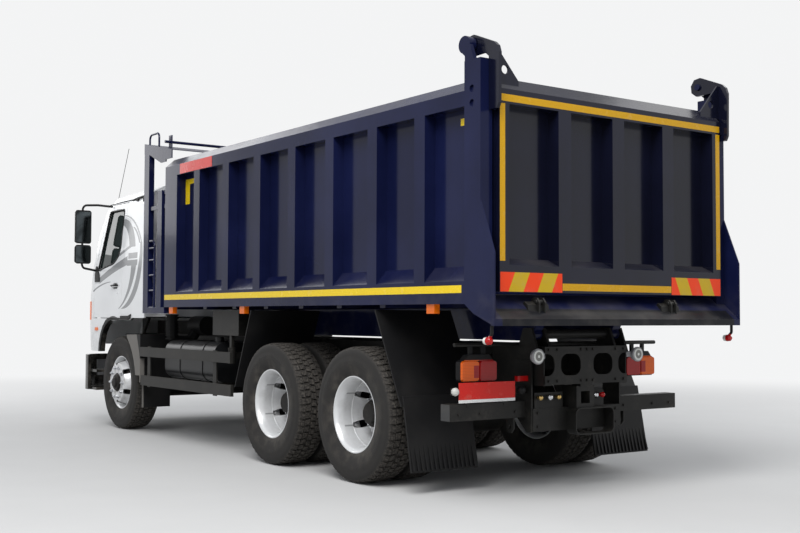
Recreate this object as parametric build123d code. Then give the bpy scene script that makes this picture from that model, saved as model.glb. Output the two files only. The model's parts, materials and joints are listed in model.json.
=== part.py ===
# A three-axle tipper lorry: forward-control cab, ladder frame, ribbed steel body that tips to the rear.
#
# It is drawn in millimetres. x runs to the vehicle's left, y to its rear, z up from the ground.
# Stations along the vehicle are measured from the last axle, and every piece is shifted by
# ORIGIN_SHIFT when it is written, so that the origin lies on the ground under the middle.

from build123d import *
from math import cos, radians, sin
import os

os.makedirs("parts", exist_ok=True)

# Overall sizes
FRONT_FACE = -6150
REAR_LIP = 1700
ORIGIN_SHIFT = -(FRONT_FACE + REAR_LIP) / 2
LEFT, RIGHT = 1, -1
RUNNING_GAP = 0.05
PANEL_GAP = 8

# Axles and wheels
AXLE_FRONT = -4946
AXLE_MIDDLE = -1297
AXLE_REAR = 0
WHEEL_CENTRE_Z = 522
TYRE_RADIUS = 522
BEAD_RADIUS = 281
RIM_HALF_WIDTH = 117
BEAD_HALF_WIDTH = 105
RIM_OFFSET = 165
DISC_THICK = 12
FRONT_MOUNT_X = 1169
REAR_MOUNT_X = 932
TYRE_SIDES = 36
HAND_HOLES = 6
HAND_HOLE_PITCH_RADIUS = 225
HAND_HOLE_RADIUS = 29
SPINDLE_RADIUS = 40
KINGPIN_X = 850
KINGPIN_RADIUS = 25
STEERING_ARM = 180
TIE_ROD_Z = 418
ROD_STUD_RADIUS = 12

# Ladder frame
RAIL_OUTER_X = 425
RAIL_FLANGE = 80
RAIL_THICK = 8
RAIL_Z = (780, 1060)
RAIL_FRONT = -5985
RAIL_REAR = 1280

# Tipping body
BODY_HALF = 1245
BODY_FRONT = -3514
PANEL_X = 1150
SHEET = 8
FLOOR_TOP = 1430
RAIL_LOW_Z = (1362, 1515)
RAIL_TOP_Z = (2695, 2800)
CAP_Z = 2885
RIB_STATIONS = (-2770, -2150, -1540, -930, -330, 280, 880)
RIB_WIDTH = 125
FRONT_POST_END = -3230
REAR_POST = (1388, 1558)
REAR_POST_INNER_X = 1143
REAR_POST_TOP = 3000
BEARER_Z = (1340, 1422)
SILL_X = (360, 440)
SILL_Z = (1100, 1340)
TIP_HINGE_Y = 1150
TIP_HINGE_Z = 1150
TIP_PIN_RADIUS = 35
TIP_ANGLE = 45
TOW_PIN_RADIUS = 20

# Tailgate
GATE_HALF = 1125
GATE_PANEL_Y = 1505
GATE_FACE_Y = 1613
GATE_Z = (1442, 2800)
GATE_CAP_Z = 2882
GATE_PIVOT_Y = 1385
GATE_PIVOT_Z = 3115
GATE_PIN_RADIUS = 25
GATE_ARM_X = (1153, 1178)

# Hoist between cab and body
HOIST_Y = -3920
HOIST_FOOT_Z = 1000
HOIST_EYE_Z = 2350
HOIST_PIN_RADIUS = 25
HOIST_TRUNNION_RADIUS = 30
HOOK_OPENS = (209, 246)

# Cab
CAB_REAR = -4130
CAB_SKIN = 45
CAB_FLOOR_Z = (1250, 1290)
CAB_PIVOT_Y = -5975
CAB_PIVOT_Z = 760
CAB_PIN_RADIUS = 20
CORNER_RADIUS = 360
FRONT_CROWN = 45
DOOR_REAR = -4789
DOOR_FRONT = -5640
DOOR_BOTTOM = 1250
DOOR_TOP = 2545
DOOR_PIN = (1186, -5628)
DOOR_PIN_RADIUS = 5

# The cab's outline in plan at each height: half width, foremost point, rear wall
CAB_SECTIONS = (
    # z, half_width, front_y, rear_y
    (830, 1195, -6030, CAB_REAR),
    (1120, 1200, -6060, CAB_REAR),
    (1480, 1200, -6060, CAB_REAR),
    (1800, 1193, -6010, CAB_REAR),
    (2200, 1166, -5885, CAB_REAR),
    (2500, 1140, -5690, CAB_REAR),
    (2630, 1085, -5530, CAB_REAR - 30),
    (2710, 900, -5300, CAB_REAR - 170),
)


def block(x, y, z):
    """A box between a low and a high value on each axis."""
    size = [high - low for low, high in (x, y, z)]
    centre = [(low + high) / 2 for low, high in (x, y, z)]
    return Pos(*centre) * Box(*size)


def slab_x(outline, x):
    """An outline of (y, z) points, from x[0] to x[1]."""
    face = make_face(Polyline(*[(x[0], y, z) for y, z in outline], close=True))
    return extrude(face, amount=x[1] - x[0], dir=(1, 0, 0))


def slab_y(outline, y):
    """An outline of (x, z) points, from y[0] to y[1]."""
    face = make_face(Polyline(*[(x, y[0], z) for x, z in outline], close=True))
    return extrude(face, amount=y[1] - y[0], dir=(0, 1, 0))


def slab_z(outline, z):
    """An outline of (x, y) points, from z[0] to z[1]."""
    face = make_face(Polyline(*[(x, y, z[0]) for x, y in outline], close=True))
    return extrude(face, amount=z[1] - z[0], dir=(0, 0, 1))


def round_bar(start, end, radius):
    """A straight round bar between two points."""
    a, b = Vector(*start), Vector(*end)
    return extrude(Plane(origin=a, z_dir=b - a) * Circle(radius), amount=(b - a).length)


def bar(points, radius, bend=0, sides=8):
    """A bar or tube of eight flats along points, with its corners bent to a radius."""
    path = FilletPolyline(*points, radius=bend) if bend else Polyline(*points)
    start = Plane(origin=path @ 0, z_dir=path % 0)
    return sweep(start * RegularPolygon(radius, sides), path=path)


def in_flats(outline, sides):
    """A closed outline of (x, radius) points about the x axis, in flats whose middles reach the radius."""
    rings = []
    for x, radius in outline:
        corner = radius / cos(radians(180 / sides))
        angles = [radians(360 * (i + 0.5) / sides) for i in range(sides)]
        rings.append([(x, corner * sin(a), -corner * cos(a)) for a in angles])
    flats = []
    for ring, following in zip(rings, rings[1:] + rings[:1]):
        for i in range(sides):
            corners = (ring[i - 1], ring[i], following[i], following[i - 1])
            flats.append(make_face(Polyline(*corners, close=True)).face())
    return Solid(Shell(flats))


def turned(outline):
    """An outline of (x, radius) points, turned about the x axis."""
    face = make_face(Polyline(*[(x, 0, radius) for x, radius in outline], close=True))
    return revolve(face, axis=Axis.X)


def on_axis(stations):
    """The outline of a solid form from (x, radius) stations, closed along the axis."""
    return [(stations[0][0], 0)] + list(stations) + [(stations[-1][0], 0)]


def both_sides(piece):
    """A piece on the left, and its mirror image on the right."""
    return [piece, mirror(piece, about=Plane.YZ)]


def on_side(piece, side):
    """A piece drawn for the left, or mirrored for the right."""
    return piece if side == LEFT else mirror(piece, about=Plane.YZ)


def fused(pieces):
    """Pieces welded into one."""
    first, *rest = pieces
    return first.fuse(*rest).clean() if rest else first


def write(name, *pieces):
    """Write one sub-part, moved to the vehicle's own origin."""
    shift = Pos(0, ORIGIN_SHIFT, 0)
    solids = [shift * solid for piece in pieces for solid in piece.solids()]
    shape = solids[0] if len(solids) == 1 else Compound(children=solids)
    export_step(shape, f"parts/{name}.step")
    print(name, len(solids), "solids")


# Wheels: drawn about the x axis, with x counted outwards from the face where the disc bolts to its hub


def tyre(centre):
    """One tyre about its own centre plane."""
    half = (
        # distance from the centre plane, radius
        (BEAD_HALF_WIDTH, BEAD_RADIUS),
        (148, 375),
        (138, 485),
        (110, TYRE_RADIUS),
    )
    stations = [(centre - d, r) for d, r in half] + [(centre + d, r) for d, r in reversed(half)]
    return in_flats(stations, TYRE_SIDES)


def rim(centre, disc_side, holes):
    """A rim on its drop centre, with the dished disc that carries it. disc_side points at its open end."""
    lip, bead = RIM_HALF_WIDTH, BEAD_HALF_WIDTH
    seat = BEAD_RADIUS - 2
    barrel = turned(
        ((-lip, 288), (-lip, 296), (-bead, 293), (-bead, seat), (-60, 271), (-48, 264), (40, 264), (55, 271),
         (bead, seat), (bead, 293), (lip, 296), (lip, 288), (88, 268), (44, 256), (-56, 256), (-88, 268))
    )
    # The disc: a flat middle, then a cone that meets the drop centre
    face, meet = -RIM_OFFSET, -36
    disc = turned(
        ((face, 0), (face, 212), (face + DISC_THICK, 220), (meet, 258), (meet, 247), (face + DISC_THICK + 6, 208),
         (face + DISC_THICK, 200), (face + DISC_THICK, 0))
    )
    wheel = barrel + disc
    if holes:
        for i in range(HAND_HOLES):
            turn = Rot(X=360 * i / HAND_HOLES + 25)
            wheel -= turn * round_bar(
                (face - 1, 0, HAND_HOLE_PITCH_RADIUS), (-38, 0, HAND_HOLE_PITCH_RADIUS), HAND_HOLE_RADIUS
            )
    if disc_side < 0:
        wheel = mirror(wheel, about=Plane.YZ)
    return Pos(centre, 0, 0) * wheel


def hub(profile):
    """A hub with its drum, from (x, radius) stations."""
    return turned(on_axis(profile))


def spindle_bore(inboard, to):
    """What the spindle's bore takes out of a wheel, from the hub's inboard end."""
    bore = Rot(Y=90) * Cylinder(SPINDLE_RADIUS + RUNNING_GAP, to - inboard + 1)
    return Pos((inboard - 1 + to) / 2, 0, 0) * bore


def front_wheel():
    """Front tyre, and the rim with hub and brake drum: the disc stands out past the rim."""
    profile = (
        (-235, 205), (-60, 205), (-60, 150), (-6, 140), (-6, 104), (22, 100), (22, 72), (46, 66),
    )
    wheel = rim(-RIM_OFFSET, -1, True) + hub(profile)
    return tyre(-RIM_OFFSET), wheel - spindle_bore(-235, -20)


def rear_wheel():
    """Twin tyres, and their two rims back to back on one hub."""
    profile = (
        (-290, 205), (-60, 205), (-60, 150), (-6, 140), (-6, 112), (110, 104), (110, 84), (152, 76),
    )
    rims = rim(RIM_OFFSET, 1, True) + rim(-RIM_OFFSET, -1, False)
    wheel = rims + hub(profile)
    return [tyre(RIM_OFFSET), tyre(-RIM_OFFSET)], wheel - spindle_bore(-290, 40)


def write_wheels():
    """The six wheels, each as its tyre and its rim."""
    front_tyre, front_rim = front_wheel()
    rear_tyres, rear_rims = rear_wheel()
    table = (
        # name, station, mounting face, tyres, rim
        ("front", AXLE_FRONT, FRONT_MOUNT_X, [front_tyre], front_rim),
        ("middle", AXLE_MIDDLE, REAR_MOUNT_X, rear_tyres, rear_rims),
        ("rear", AXLE_REAR, REAR_MOUNT_X, rear_tyres, rear_rims),
    )
    for name, station, mount_x, tyres, rims in table:
        place = Pos(mount_x, station, WHEEL_CENTRE_Z)
        for side, word in ((LEFT, "left"), (RIGHT, "right")):
            write(f"tyres_{name}_{word}", *[on_side(place * piece, side) for piece in tyres])
            write(f"rims_{name}_{word}", on_side(place * rims, side))


# Axles, steering and springs


def front_axle():
    """The drop beam with a boss for the kingpin at each end."""
    outline = (
        (-800, 470), (-700, 470), (-560, 385), (560, 385), (700, 470), (800, 470),
        (800, 560), (690, 560), (540, 475), (-540, 475), (-690, 560), (-800, 560),
    )
    beam = slab_y(outline, (AXLE_FRONT - 45, AXLE_FRONT + 45))
    ends = []
    for side in (LEFT, RIGHT):
        boss = Pos(KINGPIN_X, 0, 520) * Cylinder(40, 150) + block((795, KINGPIN_X), (-30, 30), (470, 560))
        pin = round_bar((KINGPIN_X, 0, 400), (KINGPIN_X, 0, 640), KINGPIN_RADIUS)
        ends.append(on_side(Pos(0, AXLE_FRONT, 0) * (boss + pin), side))
    return fused([beam] + ends)


def knuckle(side):
    """A forked knuckle: two ears on the kingpin, the spindle, and the arm to the track rod."""
    bore = Pos(KINGPIN_X, 0, 520) * Cylinder(KINGPIN_RADIUS + RUNNING_GAP, 300)
    upper = block((800, 925), (-45, 45), (600, 632))
    lower = block((800, 925), (-45, 45), (408, 440))
    back = block((896, 932), (-45, 45), (408, 632))
    spindle = round_bar((932, 0, WHEEL_CENTRE_Z), (FRONT_MOUNT_X - 22, 0, WHEEL_CENTRE_Z), SPINDLE_RADIUS)
    arm_end = KINGPIN_X
    arm = slab_z(
        ((870, 30), (825, 30), (arm_end - 28, STEERING_ARM + 25), (arm_end + 28, STEERING_ARM + 25)),
        (408, 436),
    )
    stud = round_bar((arm_end, STEERING_ARM, TIE_ROD_Z - 56), (arm_end, STEERING_ARM, 410), ROD_STUD_RADIUS)
    body = fused([upper, lower, back, spindle, arm, stud]) - bore
    return on_side(Pos(0, AXLE_FRONT, 0) * body, side)


def tie_rod():
    """The track rod, hung under the ends of both steering arms."""
    x = KINGPIN_X
    y = AXLE_FRONT + STEERING_ARM
    z = TIE_ROD_Z - 40
    rod = bar(((-x, y, z), (x, y, z)), 17)
    ends = [block((s * x - 24, s * x + 24), (y - 24, y + 24), (z - 18, 408 - RUNNING_GAP)) for s in (1, -1)]
    bores = [Pos(s * x, y, z) * Cylinder(ROD_STUD_RADIUS + RUNNING_GAP, 80) for s in (1, -1)]
    return fused([rod] + ends) - bores[0] - bores[1]


def rear_axle(station):
    """A banjo housing with its final drive bulge, nose and spindle ends."""
    housing = turned(on_axis(
        ((-632, 68), (-300, 76), (-185, 195), (185, 195), (300, 76), (632, 68))
    ))
    spindles = [round_bar((s * 620, 0, 0), (s * (REAR_MOUNT_X + 35), 0, 0), SPINDLE_RADIUS) for s in (1, -1)]
    nose = block((-85, 85), (-330, -120), (-85, 85))
    return Pos(0, station, WHEEL_CENTRE_Z) * fused([housing, nose] + spindles)


def leaf_pack(low, high, middle, end_z, middle_z, width_x, thick):
    """A bow of leaves between two stations, thicker at its middle."""
    outline = (
        (low, end_z), (low, end_z + 22), (middle, middle_z + thick), (high, end_z + 22), (high, end_z),
        (middle + 0.35 * (high - middle), middle_z - 6), (middle - 0.35 * (middle - low), middle_z - 6),
    )
    return slab_x(outline, width_x)


def leaf_springs():
    """Front springs on the beam, and the rear balance springs on their trunnions."""
    front_mid = AXLE_FRONT
    front = leaf_pack(-5630, -4290, front_mid, 640, 483, (345, 420), 70)
    hangers = [block((350, 415), (y - 45, y + 45), (650, RAIL_Z[0])) for y in (-5600, -4320)]
    seat = block((350, 415), (front_mid - 40, front_mid + 40), (475, 500))
    half_way = (AXLE_MIDDLE + AXLE_REAR) / 2
    bow = (
        (AXLE_MIDDLE - 90, 600), (AXLE_MIDDLE - 90, 634), (half_way - 200, 745), (half_way + 200, 745),
        (AXLE_REAR + 90, 634), (AXLE_REAR + 90, 600), (half_way + 200, 640), (half_way - 200, 640),
    )
    rear = slab_x(bow, (450, 530))
    trunnion = slab_x(
        ((half_way - 190, 1000), (half_way + 190, 1000), (half_way + 110, 560), (half_way - 110, 560)),
        (RAIL_OUTER_X, 450),
    )
    saddle = block((RAIL_OUTER_X, 540), (half_way - 90, half_way + 90), (560, 645))
    pads = [block((455, 525), (y - 60, y + 60), (590, 610)) for y in (AXLE_MIDDLE, AXLE_REAR)]
    pieces = both_sides(fused([front, seat] + hangers))
    pieces += both_sides(fused([rear, trunnion, saddle] + pads))
    return pieces


# Ladder frame and what hangs on it


def channel_rail():
    """One pressed side rail, open towards the middle."""
    outer, inner = RAIL_OUTER_X, RAIL_OUTER_X - RAIL_FLANGE
    web = outer - RAIL_THICK
    low, high = RAIL_Z
    outline = (
        (outer, low), (outer, high), (inner, high), (inner, high - RAIL_THICK),
        (web, high - RAIL_THICK), (web, low + RAIL_THICK), (inner, low + RAIL_THICK), (inner, low),
    )
    return slab_y(outline, (RAIL_FRONT, RAIL_REAR))


def cross_member(station):
    """A channel between the rails, open below."""
    half = RAIL_OUTER_X - RAIL_THICK
    top = block((-half, half), (station - 60, station + 60), (1040, 1050))
    webs = [block((-half, half), (station + s * 56 - 4, station + s * 56 + 4), (860, 1050)) for s in (1, -1)]
    return fused([top] + webs)


def end_plate():
    """The closing plate at the frame's end, with its row of rounded openings."""
    half = 421
    y = (RAIL_REAR, RAIL_REAR + 10)
    plate = block((-half, half), y, (787, 1062))
    for x in (-428, -165, 165, 428):
        hole = Plane(origin=(x, y[0] - 1, 930), x_dir=(1, 0, 0), z_dir=(0, 1, 0)) * RectangleRounded(200, 158, 66)
        plate -= extrude(hole, amount=12)
    return plate


def tip_hinge_brackets():
    """Plates that hold the tipping shaft above the rails' ends."""
    outline = (
        (TIP_HINGE_Y - 120, 1000), (TIP_HINGE_Y + 120, 1000), (TIP_HINGE_Y + 45, 1195), (TIP_HINGE_Y - 45, 1195),
    )
    outer = slab_x(outline, (RAIL_OUTER_X + 22, RAIL_OUTER_X + 42))
    foot = block((RAIL_OUTER_X, RAIL_OUTER_X + 22), (TIP_HINGE_Y - 120, TIP_HINGE_Y + 120), (960, 1040))
    inner = slab_x(((TIP_HINGE_Y - 100, 1060), (TIP_HINGE_Y + 100, 1060), (TIP_HINGE_Y + 45, 1195),
                    (TIP_HINGE_Y - 45, 1195)), (325, 350))
    return [piece for plate in (outer, foot, inner) for piece in both_sides(plate)]


def hoist_foot():
    """A cradle between the rails, with an eye plate each side of the cylinder's foot."""
    half = RAIL_OUTER_X - RAIL_THICK
    beam = block((-half, half), (HOIST_Y - 85, HOIST_Y + 85), (855, 900))
    plate = slab_x(
        ((HOIST_Y - 80, 896), (HOIST_Y + 80, 896), (HOIST_Y + 42, 1048), (HOIST_Y - 42, 1048)),
        (135, 155),
    )
    bore = Pos(0, HOIST_Y, HOIST_FOOT_Z) * Rot(Y=90) * Cylinder(HOIST_TRUNNION_RADIUS + RUNNING_GAP, 340)
    return fused([beam] + both_sides(plate)) - bore


def cab_pivot_brackets():
    """Brackets at the rails' front ends with the pins that the cab tilts on."""
    plate = slab_x(
        ((CAB_PIVOT_Y - 40, 720), (CAB_PIVOT_Y - 40, 800), (CAB_PIVOT_Y + 20, 900), (-5700, 900), (-5700, 780),
         (CAB_PIVOT_Y + 60, 720)),
        (RAIL_OUTER_X, RAIL_OUTER_X + 20),
    )
    pin = round_bar((RAIL_OUTER_X, CAB_PIVOT_Y, CAB_PIVOT_Z), (RAIL_OUTER_X + 62, CAB_PIVOT_Y, CAB_PIVOT_Z), CAB_PIN_RADIUS)
    return both_sides(plate + pin)


def frame():
    """The whole ladder frame with the brackets welded to it."""
    rails = both_sides(channel_rail())
    members = [cross_member(station) for station in (-3450, -2500, -650, 600)]
    front_tie = block((-417, 417), (-5960, -5880), (830, 1010))
    shaft = round_bar((-467, TIP_HINGE_Y, TIP_HINGE_Z), (467, TIP_HINGE_Y, TIP_HINGE_Z), TIP_PIN_RADIUS)
    lamp_tube = bar(((-1035, 1014, 1076), (1035, 1014, 1076)), 15)
    saddles = both_sides(block((390, 420), (1000, 1028), (1055, 1072)))
    pieces = rails + members + [front_tie, end_plate(), shaft, hoist_foot(), lamp_tube] + saddles
    return fused(pieces + tip_hinge_brackets() + cab_pivot_brackets())


def engine():
    """The engine as one block in its place between the rails."""
    return block((-330, 330), (-5780, -4600), (610, 1215))


def driveline():
    """Gearbox, the long propeller shaft and the short one between the axles."""
    gearbox = block((-210, 210), (-4600, -4080), (640, 1030))
    long_shaft = bar(((0, -4085, 740), (0, AXLE_MIDDLE - 325, 560)), 52)
    short_shaft = bar(((0, AXLE_MIDDLE + 190, 545), (0, AXLE_REAR - 325, 535)), 45)
    return [gearbox + long_shaft, short_shaft]


def fuel_tank():
    """A rounded steel tank on the left, with its two straps and filler."""
    section = Pos(0, -3750, 0) * (Plane.XZ * Pos(810, 825) * RectangleRounded(620, 390, 110))
    body = extrude(section, amount=1150, dir=(0, 1, 0))
    straps = []
    for y in (-3420, -2900):
        band = Pos(0, y, 0) * (Plane.XZ * Pos(810, 825) * RectangleRounded(632, 402, 116))
        straps.append(extrude(band, amount=45, dir=(0, 1, 0)))
    bearers = [block((RAIL_OUTER_X, 560), (y, y + 45), (800, 860)) for y in (-3420, -2900)]
    filler = Pos(960, -2800, 1035) * Cylinder(45, 60)
    return fused([body, filler] + straps + bearers)


def oil_tank():
    """The hoist's oil tank under the body, with the filter that hangs below it."""
    tank = block((480, 1090), (-2700, -2160), (1090, 1325))
    arms = [block((RAIL_OUTER_X - 60, 600), (y - 30, y + 30), (1061, 1094)) for y in (-2600, -2260)]
    hanger = block((1050, 1080), (-2360, -2320), (960, 1095))
    filter_can = Pos(1065, -2340, 900) * Cylinder(36, 150)
    return fused([tank, hanger, filter_can] + arms)


def battery_box():
    """The battery box on the right, with a ribbed lid."""
    body = block((-1130, -520), (-3350, -2750), (600, 960))
    lid = block((-1140, -510), (-3360, -2740), (960, 1000))
    arms = [block((-525, -RAIL_OUTER_X), (y - 30, y + 30), (800, 880)) for y in (-3250, -2850)]
    return fused([body, lid] + arms)


def air_tanks():
    """Two air reservoirs on the right, on their straps."""
    pieces = []
    for x in (-660, -960):
        pieces.append(bar(((x, -2650, 690), (x, -2060, 690)), 135, sides=16))
    for y in (-2540, -2200):
        pieces.append(block((-1100, -RAIL_OUTER_X), (y, y + 50), (836, 860)))
        pieces += [block((x - 30, x + 30), (y, y + 50), (810, 845)) for x in (-660, -960)]
    return fused(pieces)


def silencer():
    """The exhaust silencer on the right behind the cab, with its side outlet."""
    section = Pos(0, -3950, 0) * (Plane.XZ * Pos(-800, 790) * RectangleRounded(540, 330, 150))
    body = extrude(section, amount=540, dir=(0, 1, 0))
    outlet = bar(((-800, -3700, 640), (-800, -3700, 560), (-1120, -3620, 520)), 48)
    arms = [block((-560, -RAIL_OUTER_X), (y - 25, y + 25), (820, 880)) for y in (-3880, -3500)]
    return fused([body, outlet] + arms)


def air_duct():
    """The ribbed duct behind the cab on the left, down to the air cleaner that stands on the rail."""
    cleaner = round_bar((610, -4110, 1170), (610, -3800, 1170), 100)
    duct = bar(((930, -4010, 1290), (930, -4010, 1000), (720, -4010, 1000), (640, -4010, 1120)), 62, bend=70)
    ribs = [Pos(930, -4010, z) * Cylinder(70, 14) for z in range(1030, 1290, 36)]
    foot = block((RAIL_OUTER_X - 60, 620), (-3990, -3920), (1060, 1086))
    return fused([cleaner, duct, foot] + ribs)


def side_guard():
    """Two rails on posts along the left, on arms from the frame."""
    upper = block((1192, 1222), (-4190, -2070), (840, 940))
    lower = block((1192, 1222), (-4150, -2050), (535, 640))
    posts = [block((1180, 1194), (y - 35, y + 35), (520, 950)) for y in (-4000, -2440)]
    arms = [block((RAIL_OUTER_X, 1182), (y - 30, y + 30), (870, 925)) for y in (-4000, -2440)]
    return fused([upper, lower] + posts + arms)


def rear_mudguard():
    """Sloping plates before and behind the twin wheels, and the ribbed flap below the rear one."""
    x = (RAIL_OUTER_X, 1235)
    fore = slab_x(((-1643, 1325), (-1655, 1325), (-1950, 631), (-1938, 631)), x)
    aft = slab_x(((305, 1325), (317, 1325), (658, 624), (646, 624)), x)
    rail_notch = block((RAIL_OUTER_X - 1, 520), (-2100, 1000), (1062, 1400))
    flap = slab_x(((646, 700), (662, 700), (770, 161), (754, 161)), (610, 1222))
    ribs = [slab_x(((658, 560), (674, 560), (782, 175), (766, 175)), (x0, x0 + 14)) for x0 in range(640, 1210, 40)]
    return [fore - rail_notch, fused([aft - rail_notch, flap] + ribs)]


def front_mudguard():
    """The rear half of the front wheel's guard, with its side plate and flap."""
    centre = (AXLE_FRONT, WHEEL_CENTRE_Z)
    angles = [10 + 8 * i for i in range(7)]
    inner = [(centre[0] + 640 * cos(radians(a)), centre[1] + 640 * sin(radians(a))) for a in angles]
    outer = [(centre[0] + 652 * cos(radians(a)), centre[1] + 652 * sin(radians(a))) for a in angles]
    sheet = slab_x(inner + outer[::-1], (840, 1215))
    side = slab_x(inner + [(-4190, 1075), (-4190, 633)], (1203, 1215))
    back = block((840, 1215), (-4202, -4190), (560, 1075))
    flap = block((860, 1180), (-4208, -4196), (290, 640))
    arm = block((RAIL_OUTER_X, 860), (-4240, -4192), (870, 930))
    return fused([sheet, side, back, flap, arm])


def underrun_bar():
    """The rear bar in two halves on its hanger plates, with the towing jaw and its guard loop between."""
    low, high = 549, 666
    beam = block((460, 1156), (1020, 1124), (low, high)) - block((470, 1148), (1028, 1116), (low + 8, high - 8))
    hanger = slab_x(((1010, 960), (1185, 960), (1185, 442), (1130, 442), (1010, 560)), (446, 460))
    spacer = block((RAIL_OUTER_X, 447), (1030, 1160), (800, 950))
    hook = slab_x(((1040, 550), (1120, 550), (1120, 470), (1095, 440), (1060, 440), (1040, 470)), (560, 574))
    hook -= round_bar((555, 1080, 480), (580, 1080, 480), 16)
    plate = block((-447, 447), (1180, 1190), (446, 612))
    upper = block((-447, 447), (1100, 1180), (600, 612))
    jaw = block((-90, 90), (1120, 1270), (600, 770))
    pin_bore = round_bar((0, 1225, 485), (0, 1225, 880), TOW_PIN_RADIUS)
    pin_entry = round_bar((0, 1225, 400), (0, 1225, 500), TOW_PIN_RADIUS + 8)
    throat = block((-45, 45), (1180, 1280), (640, 730)) + pin_bore + pin_entry
    loop_plane = Plane(origin=(-85, 1189, 510), x_dir=(1, 0, 0), z_dir=(0, 1, 0))
    loop = extrude(loop_plane * (RectangleRounded(402, 200, 52) - RectangleRounded(382, 180, 42)), amount=100)
    neck = block((-60, 60), (1190, RAIL_REAR), (765, 860))
    sides = both_sides(fused([beam, hanger, spacer, hook]))
    return fused([fused([plate, upper, jaw, loop]) - throat, neck] + sides)


def tail_lamp():
    """The left tail lamp: a rounded case below its cover, on two stays from the lamp tube."""
    case_plane = Plane(origin=(833, 985, 889), x_dir=(1, 0, 0), z_dir=(0, 1, 0))
    case = extrude(case_plane * RectangleRounded(328, 154, 26), amount=50)
    lenses = []
    for x in (751, 915):
        lens_plane = Plane(origin=(x, 1035, 889), x_dir=(1, 0, 0), z_dir=(0, 1, 0))
        lenses.append(extrude(lens_plane * RectangleRounded(160, 146, 24), amount=20, taper=12))
    cover = slab_y(((700, 962), (966, 962), (930, 1006), (736, 1006)), (985, 1045))
    stays = [block((x - 14, x + 14), (1003, 1025), (1000, 1064)) for x in (770, 890)]
    return fused([case, cover] + lenses + stays)


def lamps():
    """Tail lamps under their tube and the small red lamp beside the right one's plate."""
    small = block((460, 561), (1120, 1152), (812, 850))
    return both_sides(tail_lamp()) + [small]


def round_lamp():
    """The left round lamp at the frame's end, a bowl with its lens, on a stay."""
    bowl = Pos(512, 1268, 995) * Rot(Z=90) * turned(on_axis(((0, 24), (14, 46), (40, 56), (52, 56), (58, 40))))
    stay = block((421, 500), (1281, 1289), (975, 1015))
    return bowl + stay


def clear_lamps():
    """The round lamps at the rear and the head lamps in the bumper."""
    face = extrude(Pos(0, 0, 550) * bumper_plan(6), amount=190) - extrude(Pos(0, 0, 549) * bumper_plan(66), amount=192)
    head = face & block((680, 990), (FRONT_FACE, -6000), (550, 740))
    return both_sides(round_lamp()) + both_sides(head)


def bumper_plan(inset):
    """The bumper's outline in plan, wrapped round the cab's corners."""
    half, front = 1200 - inset, FRONT_FACE + inset
    rear = -5790
    edge = (
        Line((half, rear), (half, front + FRONT_CROWN))
        + ThreePointArc((half, front + FRONT_CROWN), (0, front), (-half, front + FRONT_CROWN))
        + Line((-half, front + FRONT_CROWN), (-half, rear))
        + Line((-half, rear), (half, rear))
    )
    face = make_face(edge)
    corners = face.vertices().sort_by(Axis.Y)[:2]
    return fillet(corners, 300 - inset)


def bumper():
    """The wrap-round bumper with head lamp openings, and the two entry steps behind each end."""
    low, high = 400, 810
    shell = extrude(Pos(0, 0, low) * bumper_plan(0), amount=high - low)
    shell -= extrude(Pos(0, 0, low + 30) * bumper_plan(35), amount=high - low)
    shell -= block((-900, 900), (-6080, -5700), (low - 1, low + 40))
    for side in (LEFT, RIGHT):
        x = sorted((side * 680, side * 990))
        shell -= block(x, (FRONT_FACE - 10, -6000), (550, 740))
    valance = block((-438, 438), (-6030, -6020), (790, 910))
    brackets = both_sides(block((RAIL_OUTER_X - 60, RAIL_OUTER_X), (-6120, RAIL_FRONT), (790, 830)))
    ties = both_sides(block((350, 420), (-6030, -5985), (785, 880)))
    treads = [block((880, 1172), (-5800, -5585), z) for z in ((400, 430), (610, 640))]
    cheek = block((880, 895), (-5800, -5585), (400, 760))
    steps = both_sides(fused(treads + [cheek]))
    return fused([shell, valance] + brackets + ties + steps)


# Cab


def cab_plan(row, inset):
    """The cab's outline in plan at one height, drawn in by inset."""
    z, half_width, front_y, rear_y = row
    half, front, rear = half_width - inset, front_y + inset, rear_y - inset
    edge = (
        Line((half, rear), (half, front + FRONT_CROWN))
        + ThreePointArc((half, front + FRONT_CROWN), (0, front), (-half, front + FRONT_CROWN))
        + Line((-half, front + FRONT_CROWN), (-half, rear))
        + Line((-half, rear), (half, rear))
    )
    face = fillet(make_face(edge).vertices().sort_by(Axis.Y)[:2], CORNER_RADIUS - inset)
    return Pos(0, 0, z) * face


def cab_form(inset):
    """The cab as a solid, drawn in by inset on its sides and roof."""
    rows = [row if i < len(CAB_SECTIONS) - 1 else (row[0] - inset,) + row[1:] for i, row in enumerate(CAB_SECTIONS)]
    rows = [(z - inset / 2 if i == len(rows) - 2 else z, w, f, r) for i, (z, w, f, r) in enumerate(rows)]
    return loft([cab_plan(row, inset) for row in rows], ruled=True)


def door_outline(grow):
    """The door's edge as seen from its side, grown outwards by grow."""
    g = grow
    return (
        (DOOR_REAR + g, DOOR_BOTTOM - g), (DOOR_REAR + g, DOOR_TOP + g), (-5330 - g, DOOR_TOP + g),
        (-5600 - g, 1840), (DOOR_FRONT - g, 1700), (DOOR_FRONT - g, DOOR_BOTTOM - g),
    )


def door_window(grow):
    """The side window's edge, grown outwards by grow."""
    g = grow
    return (
        (-4850 + g, 2475 + g), (-5285 - g, 2475 + g), (-5525 - g, 1800 - g), (-5060, 1865 - g), (-4930 + g, 1935 - g),
        (-4868 + g, 2040),
    )


WINDSCREEN = ((-1010, 1800), (1010, 1800), (960, 2440), (-960, 2440))
REAR_WINDOW = ((-520, 1960), (520, 1960), (520, 2320), (-520, 2320))


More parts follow.
